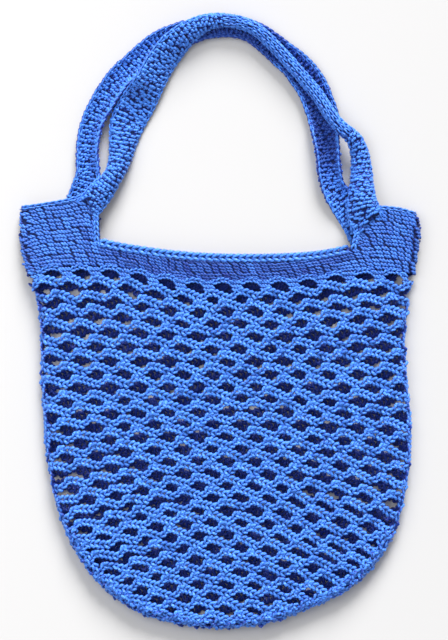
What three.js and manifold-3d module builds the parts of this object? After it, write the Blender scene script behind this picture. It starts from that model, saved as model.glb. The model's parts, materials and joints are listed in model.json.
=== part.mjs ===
// A crocheted net shopping bag, empty and lying flat on its back layer, straps laid out above it.
// Millimetres. X runs across the bag, Y from the base towards the straps, Z up from the surface it lies on.

import * as THREE from "three";
import Module from "manifold-3d";
import { mergeVertices } from "three/addons/utils/BufferGeometryUtils.js";

const wasm = await Module();
wasm.setup();

// Driving sizes
const BAG_WIDTH = 400;            // across the two ears
const BAG_LENGTH = 423;           // from the top of the ears to the base
const HANDLE_RISE = 193;          // from the top of the ears to the crown of the straps
const BAG_DEPTH = 15;             // both layers and the room between them
const FABRIC_WALL = 4.5;          // one layer of crochet
const STRAP_WIDTH = 35;
const STRAP_THICKNESS = 4.5;
const RIM_EDGING_HEIGHT = 8;      // braid along the front and back of the mouth
const EAR_EDGING_HEIGHT = 5;      // braid along the top of each ear
const GAP_WIDTH = 44;             // one opening of the net
const GAP_HEIGHT = 11;
const GAP_SPACING = 58;           // from one opening to the next in a row
const ROW_SPACING = 26;           // from one row of openings to the next
const NET_MARGIN = 5;             // whole fabric between an opening and a fold or the band
const FOLD_LAP = 4;               // how far a fold runs into the flat layers
const SEAM_GAP = 0.3;             // between pieces that are worked onto each other
const LAP_INSET = 0.05;           // keeps a fold's laps inside the layers they join

// Worked out from them
const HALF_WIDTH = BAG_WIDTH / 2;
const FOLD_RADIUS = BAG_DEPTH / 2;
const FRONT_LEVEL = BAG_DEPTH - FABRIC_WALL;
const CUT_MARGIN = 40;
const CUT_TOP = BAG_DEPTH + 2 * STRAP_WIDTH;

// How finely the curves are divided
const OUTLINE_STEPS = 2;
const STRAP_STEPS = 2;
const FOLD_STEPS = 5;
const STRAP_ACROSS = 6;
const EDGING_SIDES = 8;
const MARGIN_PROBES = 8;          // places round an opening where its margin is tested
const FLAT_CURL = 1e-3;           // radians, below which a strap's section is drawn straight
const MERGE_DISTANCE = 1e-4;

const COTTON = { color: 0x2f63c4, roughness: 0.85, metalness: 0 };

// The outline as it lies, left ear, round base, right ear.
// across is a share of half the bag's width, down a share of its length.
const OUTLINE = [
  { across: -0.99, down: -0.08 },
  { across: -0.99, down: 0.002 },
  { across: -1.0, down: 0.045 },
  { across: -0.99, down: 0.106 },
  { across: -0.96, down: 0.173 },
  { across: -0.91, down: 0.229 },
  { across: -0.89, down: 0.296 },
  { across: -0.89, down: 0.378 },
  { across: -0.88, down: 0.485 },
  { across: -0.855, down: 0.608 },
  { across: -0.805, down: 0.721 },
  { across: -0.72, down: 0.818 },
  { across: -0.6, down: 0.896 },
  { across: -0.425, down: 0.957 },
  { across: -0.21, down: 0.989 },
  { across: 0.02, down: 1.0 },
  { across: 0.24, down: 0.987 },
  { across: 0.46, down: 0.95 },
  { across: 0.65, down: 0.905 },
  { across: 0.8, down: 0.832 },
  { across: 0.89, down: 0.742 },
  { across: 0.935, down: 0.638 },
  { across: 0.95, down: 0.532 },
  { across: 0.93, down: 0.414 },
  { across: 0.92, down: 0.333 },
  { across: 0.93, down: 0.26 },
  { across: 0.955, down: 0.201 },
  { across: 0.98, down: 0.139 },
  { across: 1.0, down: 0.059 },
  { across: 0.975, down: 0.012 },
  { across: 0.965, down: -0.08 },
];

// The top edge of each ear, and the dipped rim between the roots of a strap
const LEFT_EAR = [
  { across: -0.99, down: 0.002 },
  { across: -0.8, down: -0.012 },
  { across: -0.72, down: -0.021 },
  { across: -0.65, down: -0.035 },
];
const RIM = [
  { across: -0.61, down: 0.078 },
  { across: -0.475, down: 0.092 },
  { across: -0.22, down: 0.109 },
  { across: 0.02, down: 0.116 },
  { across: 0.275, down: 0.116 },
  { across: 0.495, down: 0.109 },
  { across: 0.665, down: 0.092 },
];
const RIGHT_EAR = [
  { across: 0.765, down: 0 },
  { across: 0.84, down: 0.002 },
  { across: 0.915, down: 0.007 },
  { across: 0.965, down: 0.016 },
];

// Where the close band ends and the net begins
const SEAM = [
  { across: -0.965, down: 0.165 },
  { across: -0.85, down: 0.148 },
  { across: -0.55, down: 0.146 },
  { across: -0.425, down: 0.155 },
  { across: -0.285, down: 0.17 },
  { across: -0.14, down: 0.182 },
  { across: 0.18, down: 0.182 },
  { across: 0.33, down: 0.179 },
  { across: 0.465, down: 0.172 },
  { across: 0.605, down: 0.161 },
  { across: 0.745, down: 0.155 },
  { across: 0.87, down: 0.158 },
  { across: 0.98, down: 0.166 },
];

// How the rows of the net bend: at a depth, the share of the seam's shape they keep and how far,
// as a share of the bag's length, their ends hang below their middle
const ROW_BEND = [
  { down: 0.18, seam: 1, droop: 0 },
  { down: 0.37, seam: 0, droop: 0 },
  { down: 0.65, seam: 0, droop: 0.055 },
  { down: 1, seam: 0, droop: 0.12 },
];

// The straps as they lie, from the left root over the crown to the right root.
// up is a share of the handles' rise and width of the strap's; lift is in strap thicknesses above the
// surface; join is a share of the front layer's level. roll tips the outer edge up, and curl bends the
// strap across itself, its edges upwards where it is above zero, both in degrees.
const FRONT_STRAP = [
  { across: -0.72, up: -0.17, width: 1, lift: 0, join: 1, roll: 0, curl: 0 },
  { across: -0.635, up: -0.06, width: 1, lift: 0, join: 1, roll: 0, curl: -20 },
  { across: -0.565, up: 0.045, width: 1, lift: 0, join: 1, roll: 8, curl: -90 },
  { across: -0.515, up: 0.14, width: 0.9, lift: 0.3, join: 0.6, roll: 12, curl: -190 },
  { across: -0.495, up: 0.23, width: 0.95, lift: 0.1, join: 0.15, roll: 12, curl: -190 },
  { across: -0.475, up: 0.34, width: 1, lift: 0, join: 0, roll: 12, curl: -130 },
  { across: -0.4575, up: 0.44, width: 1, lift: 0, join: 0, roll: 8, curl: -30 },
  { across: -0.41, up: 0.53, width: 1, lift: 0.18, join: 0, roll: 14, curl: -10 },
  { across: -0.352, up: 0.62, width: 1, lift: 0.82, join: 0, roll: 33, curl: -10 },
  { across: -0.295, up: 0.715, width: 1, lift: 0.58, join: 0, roll: 33, curl: -20 },
  { across: -0.2275, up: 0.805, width: 1, lift: 0.6, join: 0, roll: 33, curl: -35 },
  { across: -0.145, up: 0.87, width: 0.95, lift: 1.5, join: 0, roll: 28, curl: -60 },
  { across: -0.065, up: 0.922, width: 0.8, lift: 2, join: 0, roll: 20, curl: -90 },
  { across: 0.02, up: 0.953, width: 0.66, lift: 1.8, join: 0, roll: 15, curl: -150 },
  { across: 0.095, up: 0.946, width: 0.6, lift: 1.7, join: 0, roll: 15, curl: -190 },
  { across: 0.16, up: 0.917, width: 0.6, lift: 1.6, join: 0, roll: 15, curl: -200 },
  { across: 0.22, up: 0.87, width: 0.6, lift: 1.5, join: 0, roll: 15, curl: -200 },
  { across: 0.28, up: 0.808, width: 0.6, lift: 1.4, join: 0, roll: 15, curl: -200 },
  { across: 0.345, up: 0.736, width: 0.6, lift: 1.3, join: 0, roll: 15, curl: -200 },
  { across: 0.415, up: 0.653, width: 0.6, lift: 1.3, join: 0, roll: 15, curl: -200 },
  { across: 0.485, up: 0.565, width: 0.6, lift: 1.5, join: 0, roll: 15, curl: -200 },
  { across: 0.555, up: 0.472, width: 0.6, lift: 2.3, join: 0, roll: 15, curl: -200 },
  { across: 0.61, up: 0.409, width: 0.6, lift: 2.5, join: 0, roll: 15, curl: -200 },
  { across: 0.655, up: 0.345, width: 0.66, lift: 2, join: 0, roll: 18, curl: -180 },
  { across: 0.69, up: 0.27, width: 0.78, lift: 0.9, join: 0, roll: 18, curl: -170 },
  { across: 0.706, up: 0.18, width: 0.92, lift: 0.7, join: 0.1, roll: 12, curl: -180 },
  { across: 0.71, up: 0.085, width: 1, lift: 0.6, join: 0.65, roll: 10, curl: -165 },
  { across: 0.705, up: 0, width: 1, lift: 0, join: 1, roll: 8, curl: -110 },
  { across: 0.735, up: -0.09, width: 1, lift: 0, join: 1, roll: 2, curl: -30 },
  { across: 0.805, up: -0.19, width: 1, lift: 0, join: 1, roll: 0, curl: 0 },
];
const BACK_STRAP = [
  { across: -0.645, up: -0.15, width: 1, lift: 0, join: 0, roll: 0, curl: 0 },
  { across: -0.65, up: -0.02, width: 1, lift: 0, join: 0, roll: 0, curl: 10 },
  { across: -0.655, up: 0.075, width: 1, lift: 0, join: 0, roll: 0, curl: 60 },
  { across: -0.66, up: 0.16, width: 1, lift: 0, join: 0, roll: 0, curl: 200 },
  { across: -0.665, up: 0.25, width: 1, lift: 0, join: 0, roll: 0, curl: 235 },
  { across: -0.66, up: 0.34, width: 1, lift: 0, join: 0, roll: 0, curl: 235 },
  { across: -0.64, up: 0.43, width: 1, lift: 0, join: 0, roll: 0, curl: 220 },
  { across: -0.605, up: 0.508, width: 1, lift: 0, join: 0, roll: 0, curl: 205 },
  { across: -0.56, up: 0.585, width: 1, lift: 0, join: 0, roll: 0, curl: 200 },
  { across: -0.5, up: 0.653, width: 1, lift: 0, join: 0, roll: 0, curl: 200 },
  { across: -0.435, up: 0.715, width: 1, lift: 0, join: 0, roll: 0, curl: 195 },
  { across: -0.365, up: 0.782, width: 1, lift: 0, join: 0, roll: 0, curl: 180 },
  { across: -0.3, up: 0.839, width: 1, lift: 0, join: 0, roll: 0, curl: 155 },
  { across: -0.23, up: 0.876, width: 0.95, lift: 0, join: 0, roll: 0, curl: 120 },
  { across: -0.155, up: 0.904, width: 0.85, lift: 0, join: 0, roll: 0, curl: 90 },
  { across: -0.07, up: 0.922, width: 0.75, lift: 0, join: 0, roll: 0, curl: 75 },
  { across: 0.025, up: 0.93, width: 0.7, lift: 0, join: 0, roll: 0, curl: 70 },
  { across: 0.1, up: 0.917, width: 0.72, lift: 0, join: 0, roll: 0, curl: 70 },
  { across: 0.17, up: 0.876, width: 0.76, lift: 0, join: 0, roll: 0, curl: 70 },
  { across: 0.235, up: 0.826, width: 0.82, lift: 0, join: 0, roll: 0, curl: 70 },
  { across: 0.295, up: 0.772, width: 0.87, lift: 0, join: 0, roll: 0, curl: 70 },
  { across: 0.35, up: 0.725, width: 0.93, lift: 0, join: 0, roll: 0, curl: 70 },
  { across: 0.4, up: 0.668, width: 1, lift: 0, join: 0, roll: 0, curl: 65 },
  { across: 0.445, up: 0.601, width: 1, lift: 0, join: 0, roll: 0, curl: 65 },
  { across: 0.4775, up: 0.528, width: 1, lift: 0, join: 0, roll: 0, curl: 65 },
  { across: 0.505, up: 0.451, width: 1, lift: 0, join: 0, roll: 0, curl: 68 },
  { across: 0.53, up: 0.368, width: 1, lift: 0, join: 0, roll: 0, curl: 85 },
  { across: 0.55, up: 0.275, width: 1, lift: 0, join: 0, roll: 0, curl: 200 },
  { across: 0.555, up: 0.171, width: 1, lift: 0, join: 0, roll: 0, curl: 195 },
  { across: 0.575, up: 0.078, width: 1, lift: 0, join: 0, roll: 0, curl: 70 },
  { across: 0.62, up: -0.01, width: 1, lift: 0, join: 0, roll: 0, curl: 10 },
  { across: 0.67, up: -0.09, width: 1, lift: 0, join: 0, roll: 0, curl: 0 },
  { across: 0.73, up: -0.18, width: 1, lift: 0, join: 0, roll: 0, curl: 0 },
];

// Where the braids stop short of each strap, as shares of half the width
const FRONT_BRAID = { leftEarEnd: -0.677, rimLeft: -0.6, rimRight: 0.635, rightEarEnd: 0.805 };
const BACK_BRAID = { leftEarEnd: -0.745, rimLeft: -0.6, rimRight: 0.56, rightEarEnd: 0.79 };

// One opening of the net, level at its foot and arched above, in shares of half its width and height
const GAP_CORNERS = [
  { across: -1, up: -0.2 },
  { across: -0.5, up: -1 },
  { across: 0.5, up: -1 },
  { across: 1, up: -0.2 },
  { across: 0.5, up: 1 },
  { across: -0.5, up: 1 },
];

// A row of a table part way between its rows, every column on one smooth curve
function rowBetween(rows, place) {
  const last = rows.length - 1;
  const index = Math.min(Math.floor(place), last - 1);
  const share = place - index;
  const rowFrom = (step) => rows[Math.min(Math.max(index + step, 0), last)];
  const [before, start, end, after] = [-1, 0, 1, 2].map(rowFrom);
  const row = {};
  for (const column of Object.keys(start)) {
    const leaving = (end[column] - before[column]) / 2;
    const arriving = (after[column] - start[column]) / 2;
    const rise = end[column] - start[column];
    const bend = 3 * rise - 2 * leaving - arriving;
    const twist = leaving + arriving - 2 * rise;
    row[column] = start[column] + share * (leaving + share * (bend + share * twist));
  }
  return row;
}

// The row of a table where one of its columns has a given value
function rowWhere(rows, column, value) {
  const last = rows.length - 1;
  let index = 0;
  while (index < last - 1 && rows[index + 1][column] < value) {
    index += 1;
  }
  const share = (value - rows[index][column]) / (rows[index + 1][column] - rows[index][column]);
  return rowBetween(rows, index + THREE.MathUtils.clamp(share, 0, 1));
}

function rowsAlong(rows, stepsEach) {
  const count = (rows.length - 1) * stepsEach;
  return Array.from({ length: count + 1 }, (unused, step) => rowBetween(rows, step / stepsEach));
}

const pointOf = (row) => new THREE.Vector2(row.across * HALF_WIDTH, -row.down * BAG_LENGTH);

// A line moved sideways, to its left where the distance is above zero
function offsetLine(points, distance) {
  const directionAt = (index) => {
    const start = points[Math.max(index, 0)];
    const end = points[Math.min(index + 1, points.length - 1)];
    return end.clone().sub(start).normalize();
  };
  return points.map((point, index) => {
    const arriving = directionAt(Math.max(index - 1, 0));
    const leaving = directionAt(Math.min(index, points.length - 2));
    const normal = new THREE.Vector2(-arriving.y - leaving.y, arriving.x + leaving.x).normalize();
    const spread = normal.dot(new THREE.Vector2(-leaving.y, leaving.x));
    return point.clone().addScaledVector(normal, distance / spread);
  });
}

function solidOf(geometry) {
  const bare = geometry.clone();
  bare.deleteAttribute("normal");
  bare.deleteAttribute("uv");
  const merged = mergeVertices(bare, MERGE_DISTANCE);
  return new wasm.Manifold(new wasm.Mesh({
    numProp: 3,
    vertProperties: merged.attributes.position.array,
    triVerts: new Uint32Array(merged.index.array),
  }));
}

function geometryOf(solid) {
  const mesh = solid.getMesh();
  const geometry = new THREE.BufferGeometry();
  geometry.setAttribute("position", new THREE.BufferAttribute(mesh.vertProperties, 3));
  geometry.setIndex(new THREE.BufferAttribute(mesh.triVerts, 1));
  geometry.computeVertexNormals();
  return geometry;
}

// A closed solid through rings of points; contour is the first ring drawn flat, for the two ends
function loftThrough(rings, contour) {
  const size = contour.length;
  const caps = THREE.ShapeUtils.triangulateShape(contour, []);
  const positions = rings.flat().flatMap((point) => point.toArray());
  const triangles = [];
  for (let ring = 0; ring < rings.length - 1; ring += 1) {
    for (let side = 0; side < size; side += 1) {
      const near = ring * size + side;
      const beside = ring * size + (side + 1) % size;
      triangles.push(near, beside, near + size, beside, beside + size, near + size);
    }
  }
  const end = (rings.length - 1) * size;
  for (const [a, b, c] of caps) {
    triangles.push(c, b, a, end + a, end + b, end + c);
  }
  const corner = (index) => new THREE.Vector3().fromArray(positions, 3 * index);
  let volume = 0;
  for (let index = 0; index < triangles.length; index += 3) {
    const [a, b, c] = triangles.slice(index, index + 3).map(corner);
    volume += a.dot(b.cross(c)) / 6;
  }
  const geometry = new THREE.BufferGeometry();
  geometry.setAttribute("position", new THREE.Float32BufferAttribute(positions, 3));
  geometry.setIndex(volume < 0 ? triangles.reverse() : triangles);
  return geometry;
}

function prism(points, bottom, top) {
  const shape = new THREE.Shape(points);
  const geometry = new THREE.ExtrudeGeometry(shape, { depth: top - bottom, bevelEnabled: false });
  return solidOf(geometry.translate(0, 0, bottom));
}

// The line that the top of the band follows, below the braid, raised where clearance is above zero
function bandTop(clearance) {
  const lowered = (rows, height) => rowsAlong(rows, OUTLINE_STEPS).map((row) => {
    return pointOf(row).sub(new THREE.Vector2(0, height + SEAM_GAP));
  });
  const line = [
    ...lowered(LEFT_EAR, EAR_EDGING_HEIGHT),
    ...lowered(RIM, RIM_EDGING_HEIGHT),
    ...lowered(RIGHT_EAR, EAR_EDGING_HEIGHT),
  ];
  const outer = line.at(-1).clone().setX(HALF_WIDTH + CUT_MARGIN);
  const inner = line[0].clone().setX(-HALF_WIDTH - CUT_MARGIN);
  return offsetLine([inner, ...line, outer], clearance);
}

function seamLine(shift) {
  const line = rowsAlong(SEAM, OUTLINE_STEPS).map(pointOf);
  const left = line[0].clone().setX(-HALF_WIDTH - CUT_MARGIN);
  const right = line.at(-1).clone().setX(HALF_WIDTH + CUT_MARGIN);
  return [left, ...line, right].map((point) => point.add(new THREE.Vector2(0, shift)));
}

// The fold that joins the two layers down the sides and round the base
function foldSolid(centreLine) {
  const outer = FOLD_RADIUS - LAP_INSET;
  const inner = FOLD_RADIUS - FABRIC_WALL + LAP_INSET;
  const arc = (radius, from, to) => Array.from({ length: FOLD_STEPS + 1 }, (unused, step) => {
    const angle = THREE.MathUtils.degToRad(THREE.MathUtils.lerp(from, to, step / FOLD_STEPS));
    return new THREE.Vector2(radius * Math.cos(angle), radius * Math.sin(angle));
  });
  const section = [
    new THREE.Vector2(-FOLD_LAP, -outer),
    ...arc(outer, -90, 90),
    new THREE.Vector2(-FOLD_LAP, outer),
    new THREE.Vector2(-FOLD_LAP, inner),
    ...arc(inner, 90, -90),
    new THREE.Vector2(-FOLD_LAP, -inner),
  ];
  const outside = offsetLine(centreLine, -1);
  const rings = centreLine.map((centre, index) => {
    const outward = outside[index].clone().sub(centre);
    return section.map(({ x, y }) => {
      const point = centre.clone().addScaledVector(outward, x);
      return new THREE.Vector3(point.x, point.y, FOLD_RADIUS + y);
    });
  });
  return solidOf(loftThrough(rings, section));
}

// The middles of the net's openings, in staggered rows that follow the seam above and droop below
function netGaps(border) {
  const middleSeam = rowWhere(SEAM, "across", 0).down;
  const columnsEachSide = Math.ceil(HALF_WIDTH / GAP_SPACING);
  const gaps = [];
  const firstRow = middleSeam * BAG_LENGTH + NET_MARGIN + GAP_HEIGHT / 2;
  for (let row = 0; firstRow + row * ROW_SPACING < BAG_LENGTH; row += 1) {
    const down = (firstRow + row * ROW_SPACING) / BAG_LENGTH;
    const bend = rowWhere(ROW_BEND, "down", down);
    const stagger = (row % 2) / 2;
    for (let column = -columnsEachSide; column <= columnsEachSide; column += 1) {
      const across = (column + stagger) * GAP_SPACING / HALF_WIDTH;
      const seam = rowWhere(SEAM, "across", across).down - middleSeam;
      const place = pointOf({ across, down: down + bend.seam * seam + bend.droop * across ** 2 });
      if (clearOf(place, border)) {
        gaps.push(place);
      }
    }
  }
  return gaps;
}

// Whether an opening at this place keeps its margin inside the border
function clearOf(place, border) {
  const inside = (point) => {
    let crossings = 0;
    border.forEach((start, index) => {
      const end = border[(index + 1) % border.length];
      const spans = (start.y > point.y) !== (end.y > point.y);
      const along = (point.y - start.y) / (end.y - start.y);
      if (spans && point.x < start.x + along * (end.x - start.x)) {
        crossings += 1;
      }
    });
    return crossings % 2 === 1;
  };
  const reach = new THREE.Vector2(GAP_WIDTH / 2 + NET_MARGIN, GAP_HEIGHT / 2 + NET_MARGIN);
  return Array.from({ length: MARGIN_PROBES }).every((unused, probe) => {
    const angle = 2 * Math.PI * probe / MARGIN_PROBES;
    return inside(new THREE.Vector2(reach.x * Math.cos(angle), reach.y * Math.sin(angle)).add(place));
  });
}

function gapPath(place) {
  return new THREE.Path(GAP_CORNERS.map(({ across, up }) => {
    return new THREE.Vector2(place.x + across * GAP_WIDTH / 2, place.y + up * GAP_HEIGHT / 2);
  }));
}

function layerSolid(border, gaps, bottom) {
  const shape = new THREE.Shape(border);
  shape.holes = gaps.map(gapPath);
  const geometry = new THREE.ExtrudeGeometry(shape, { depth: FABRIC_WALL, bevelEnabled: false });
  return solidOf(geometry.translate(0, 0, bottom));
}

// The whole hollow body, from which the band and the net are parted at the seam
function bodySolids() {
  const outline = rowsAlong(OUTLINE, OUTLINE_STEPS).map(pointOf);
  const centreLine = offsetLine(outline, FOLD_RADIUS);
  const foldEdge = centreLine.filter((point) => point.y < 0);
  const seamEdge = seamLine(0).filter((point) => Math.abs(point.x) < HALF_WIDTH - BAG_DEPTH);
  const netBorder = [...foldEdge.filter((point) => point.y < seamEdge[0].y), ...seamEdge.reverse()];
  const gaps = netGaps(netBorder);
  const shell = foldSolid(centreLine)
    .add(layerSolid(centreLine, gaps, 0))
    .add(layerSolid(centreLine, gaps, FRONT_LEVEL));
  const bandArea = [...seamLine(SEAM_GAP / 2), ...bandTop(0).reverse()];
  const corner = (side) => new THREE.Vector2(side * (HALF_WIDTH + CUT_MARGIN), -BAG_LENGTH - CUT_MARGIN);
  const netArea = [corner(-1), corner(1), ...seamLine(-SEAM_GAP / 2).reverse()];
  return {
    band: shell.intersect(prism(bandArea, -CUT_MARGIN, CUT_TOP)),
    net: shell.intersect(prism(netArea, -CUT_MARGIN, CUT_TOP)),
  };
}

// The section of a strap: an arc of its width with rounded edges
function strapSection(share, curl) {
  const width = share * STRAP_WIDTH - STRAP_THICKNESS / 2;
  const half = STRAP_THICKNESS / 2;
  const place = (offset) => {
    const angle = curl * offset / 2;
    const straight = Math.abs(curl) < FLAT_CURL;
    const radius = straight ? 0 : width / curl;
    const x = straight ? offset * width / 2 : radius * Math.sin(angle);
    const y = straight ? 0 : radius * (1 - Math.cos(angle));
    return { x, y, angle };
  };
  const offsets = Array.from({ length: STRAP_ACROSS + 1 }, (unused, step) => 2 * step / STRAP_ACROSS - 1);
  const face = (offset, side) => {
    const { x, y, angle } = place(offset);
    return new THREE.Vector2(x - side * half * Math.sin(angle), y + side * half * Math.cos(angle));
  };
  const nose = (offset) => {
    const { x, y, angle } = place(offset);
    const reach = offset * half / 2;
    return new THREE.Vector2(x + reach * Math.cos(angle), y + reach * Math.sin(angle));
  };
  const lower = offsets.map((offset) => face(offset, -1));
  const upper = offsets.map((offset) => face(offset, 1)).reverse();
  return [...lower, nose(1), ...upper, nose(-1)];
}

function strapSolid(table) {
  const rows = rowsAlong(table, STRAP_STEPS);
  const path = rows.map((row) => new THREE.Vector2(row.across * HALF_WIDTH, row.up * HANDLE_RISE));
  const right = offsetLine(path, -1);
  let firstContour = null;
  const rings = rows.map((row, index) => {
    const contour = strapSection(row.width, THREE.MathUtils.degToRad(row.curl));
    const roll = THREE.MathUtils.degToRad(-row.roll);
    contour.forEach((point) => point.rotateAround(new THREE.Vector2(), roll));
    const lowest = Math.min(...contour.map((point) => point.y));
    const level = Math.max(row.lift * STRAP_THICKNESS + row.join * FRONT_LEVEL, 0) - lowest;
    const sideways = right[index].clone().sub(path[index]).normalize();
    firstContour ??= contour;
    return contour.map(({ x, y }) => {
      const point = path[index].clone().addScaledVector(sideways, x);
      return new THREE.Vector3(point.x, point.y, level + y);
    });
  });
  const top = bandTop(SEAM_GAP);
  const corner = (side) => new THREE.Vector2(side * (HALF_WIDTH + CUT_MARGIN), -BAG_LENGTH);
  const bandRoom = prism([corner(-1), corner(1), ...top.reverse()], -CUT_MARGIN, CUT_TOP);
  return solidOf(loftThrough(rings, firstContour)).subtract(bandRoom);
}

// A braid of oval section along a path, its height kept upright in the bag's plane
function braidSolid(path, height) {
  const upright = new THREE.Vector3(0, 1, 0);
  const oval = Array.from({ length: EDGING_SIDES }, (unused, side) => {
    const angle = 2 * Math.PI * (side + 0.5) / EDGING_SIDES;
    const reach = 1 / Math.cos(Math.PI / EDGING_SIDES);
    return new THREE.Vector2(
      reach * FABRIC_WALL / 2 * Math.cos(angle),
      reach * height / 2 * Math.sin(angle),
    );
  });
  const rings = path.map((point, index) => {
    const ahead = path[Math.min(index + 1, path.length - 1)];
    const behind = path[Math.max(index - 1, 0)];
    const along = ahead.clone().sub(behind).normalize();
    const up = upright.clone().addScaledVector(along, -upright.dot(along)).normalize();
    const thick = up.clone().cross(along);
    return oval.map(({ x, y }) => point.clone().addScaledVector(thick, x).addScaledVector(up, y));
  });
  return solidOf(loftThrough(rings, oval));
}

// The part of a line between two places across the bag
function stretchOf(line, from, to) {
  const inside = line.filter((point) => point.x > from && point.x < to);
  const endAt = (x) => {
    const index = Math.max(line.findIndex((point) => point.x >= x), 1);
    const [before, after] = [line[index - 1], line[index]];
    return before.clone().lerp(after, (x - before.x) / (after.x - before.x));
  };
  return [endAt(from), ...inside, endAt(to)];
}

// The middle of a braid that stands on the band's top line
function braidLine(rows, height, from, to) {
  const line = rowsAlong(rows, OUTLINE_STEPS).map((row) => {
    return pointOf(row).sub(new THREE.Vector2(0, height / 2));
  });
  return stretchOf(line, from * HALF_WIDTH, to * HALF_WIDTH);
}

const atLevel = (level) => (point) => new THREE.Vector3(point.x, point.y, level);

function rimBraid(ends, level) {
  const line = braidLine(RIM, RIM_EDGING_HEIGHT, ends.rimLeft, ends.rimRight);
  return braidSolid(line.map(atLevel(level)), RIM_EDGING_HEIGHT);
}

// The braid over an ear: along the front layer, round the side fold and along the back layer
function earBraid(rows, side, frontEnd, backEnd) {
  const tip = side < 0 ? rows[0] : rows.at(-1);
  const foldAcross = tip.across - side * FOLD_RADIUS / HALF_WIDTH;
  const run = (end) => {
    const line = braidLine(rows, EAR_EDGING_HEIGHT, Math.min(end, foldAcross), Math.max(end, foldAcross));
    return side < 0 ? line.reverse() : line;
  };
  const front = run(frontEnd).map(atLevel(BAG_DEPTH - FABRIC_WALL / 2));
  const back = run(backEnd).map(atLevel(FABRIC_WALL / 2)).reverse();
  const radius = FOLD_RADIUS - FABRIC_WALL / 2;
  const turn = Array.from({ length: FOLD_STEPS - 1 }, (unused, step) => {
    const angle = Math.PI * (0.5 - (step + 1) / FOLD_STEPS);
    const start = front.at(-1);
    return new THREE.Vector3(start.x + side * radius * Math.cos(angle), start.y,
      FOLD_RADIUS + radius * Math.sin(angle));
  });
  return braidSolid([...front, ...turn, ...back], EAR_EDGING_HEIGHT);
}

const bag = new THREE.Group();

function addPiece(name, solid) {
  const mesh = new THREE.Mesh(geometryOf(solid), new THREE.MeshStandardMaterial(COTTON));
  mesh.name = name;
  bag.add(mesh);
}

const body = bodySolids();
addPiece("net_pouch", body.net);
addPiece("top_band", body.band);
addPiece("front_rim_edging", rimBraid(FRONT_BRAID, BAG_DEPTH - FABRIC_WALL / 2));
addPiece("back_rim_edging", rimBraid(BACK_BRAID, FABRIC_WALL / 2));
addPiece("left_ear_edging", earBraid(LEFT_EAR, -1, FRONT_BRAID.leftEarEnd, BACK_BRAID.leftEarEnd));
addPiece("right_ear_edging", earBraid(RIGHT_EAR, 1, FRONT_BRAID.rightEarEnd, BACK_BRAID.rightEarEnd));
addPiece("front_strap", strapSolid(FRONT_STRAP));
addPiece("back_strap", strapSolid(BACK_STRAP));

// The bag's own origin: under the middle of all it covers, on the surface it lies on
const extent = new THREE.Box3().setFromObject(bag);
const centre = extent.getCenter(new THREE.Vector3());
bag.position.set(-centre.x, -centre.y, -extent.min.z);

export default bag;
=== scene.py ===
"""A crocheted string shopping bag, empty and lying flat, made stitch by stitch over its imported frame.

Metres. X runs across the bag, Y from its base towards the straps and Z up from the surface that it lies on.
"""

import json
import logging
import math
from dataclasses import dataclass, field
from enum import IntEnum
from typing import Callable

import bpy
import numpy as np
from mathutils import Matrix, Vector

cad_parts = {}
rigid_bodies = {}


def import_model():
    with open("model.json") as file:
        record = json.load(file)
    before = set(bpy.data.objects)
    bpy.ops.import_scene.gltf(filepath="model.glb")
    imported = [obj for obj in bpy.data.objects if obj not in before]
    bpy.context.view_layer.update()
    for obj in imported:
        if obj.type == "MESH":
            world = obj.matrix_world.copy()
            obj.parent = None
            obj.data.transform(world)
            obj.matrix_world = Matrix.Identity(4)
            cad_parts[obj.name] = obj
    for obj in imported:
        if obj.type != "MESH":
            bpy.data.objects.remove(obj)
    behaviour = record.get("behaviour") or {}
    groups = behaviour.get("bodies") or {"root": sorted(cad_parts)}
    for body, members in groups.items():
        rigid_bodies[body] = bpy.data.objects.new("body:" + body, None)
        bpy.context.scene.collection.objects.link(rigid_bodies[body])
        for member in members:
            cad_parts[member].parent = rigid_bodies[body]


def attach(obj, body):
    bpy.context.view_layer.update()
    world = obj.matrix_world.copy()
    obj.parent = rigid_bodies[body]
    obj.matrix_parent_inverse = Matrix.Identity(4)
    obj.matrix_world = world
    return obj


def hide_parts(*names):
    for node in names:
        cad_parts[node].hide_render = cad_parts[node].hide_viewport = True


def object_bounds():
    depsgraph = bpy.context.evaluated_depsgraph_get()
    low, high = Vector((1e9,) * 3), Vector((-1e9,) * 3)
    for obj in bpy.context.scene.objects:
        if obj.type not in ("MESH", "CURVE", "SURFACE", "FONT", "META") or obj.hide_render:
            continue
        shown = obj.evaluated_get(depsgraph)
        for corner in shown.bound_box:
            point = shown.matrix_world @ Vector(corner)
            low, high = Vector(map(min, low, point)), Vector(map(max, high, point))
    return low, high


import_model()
cad_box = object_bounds()

log = logging.getLogger("bag")

Array = np.ndarray
Reading = Callable[[Array], Array]


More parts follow.
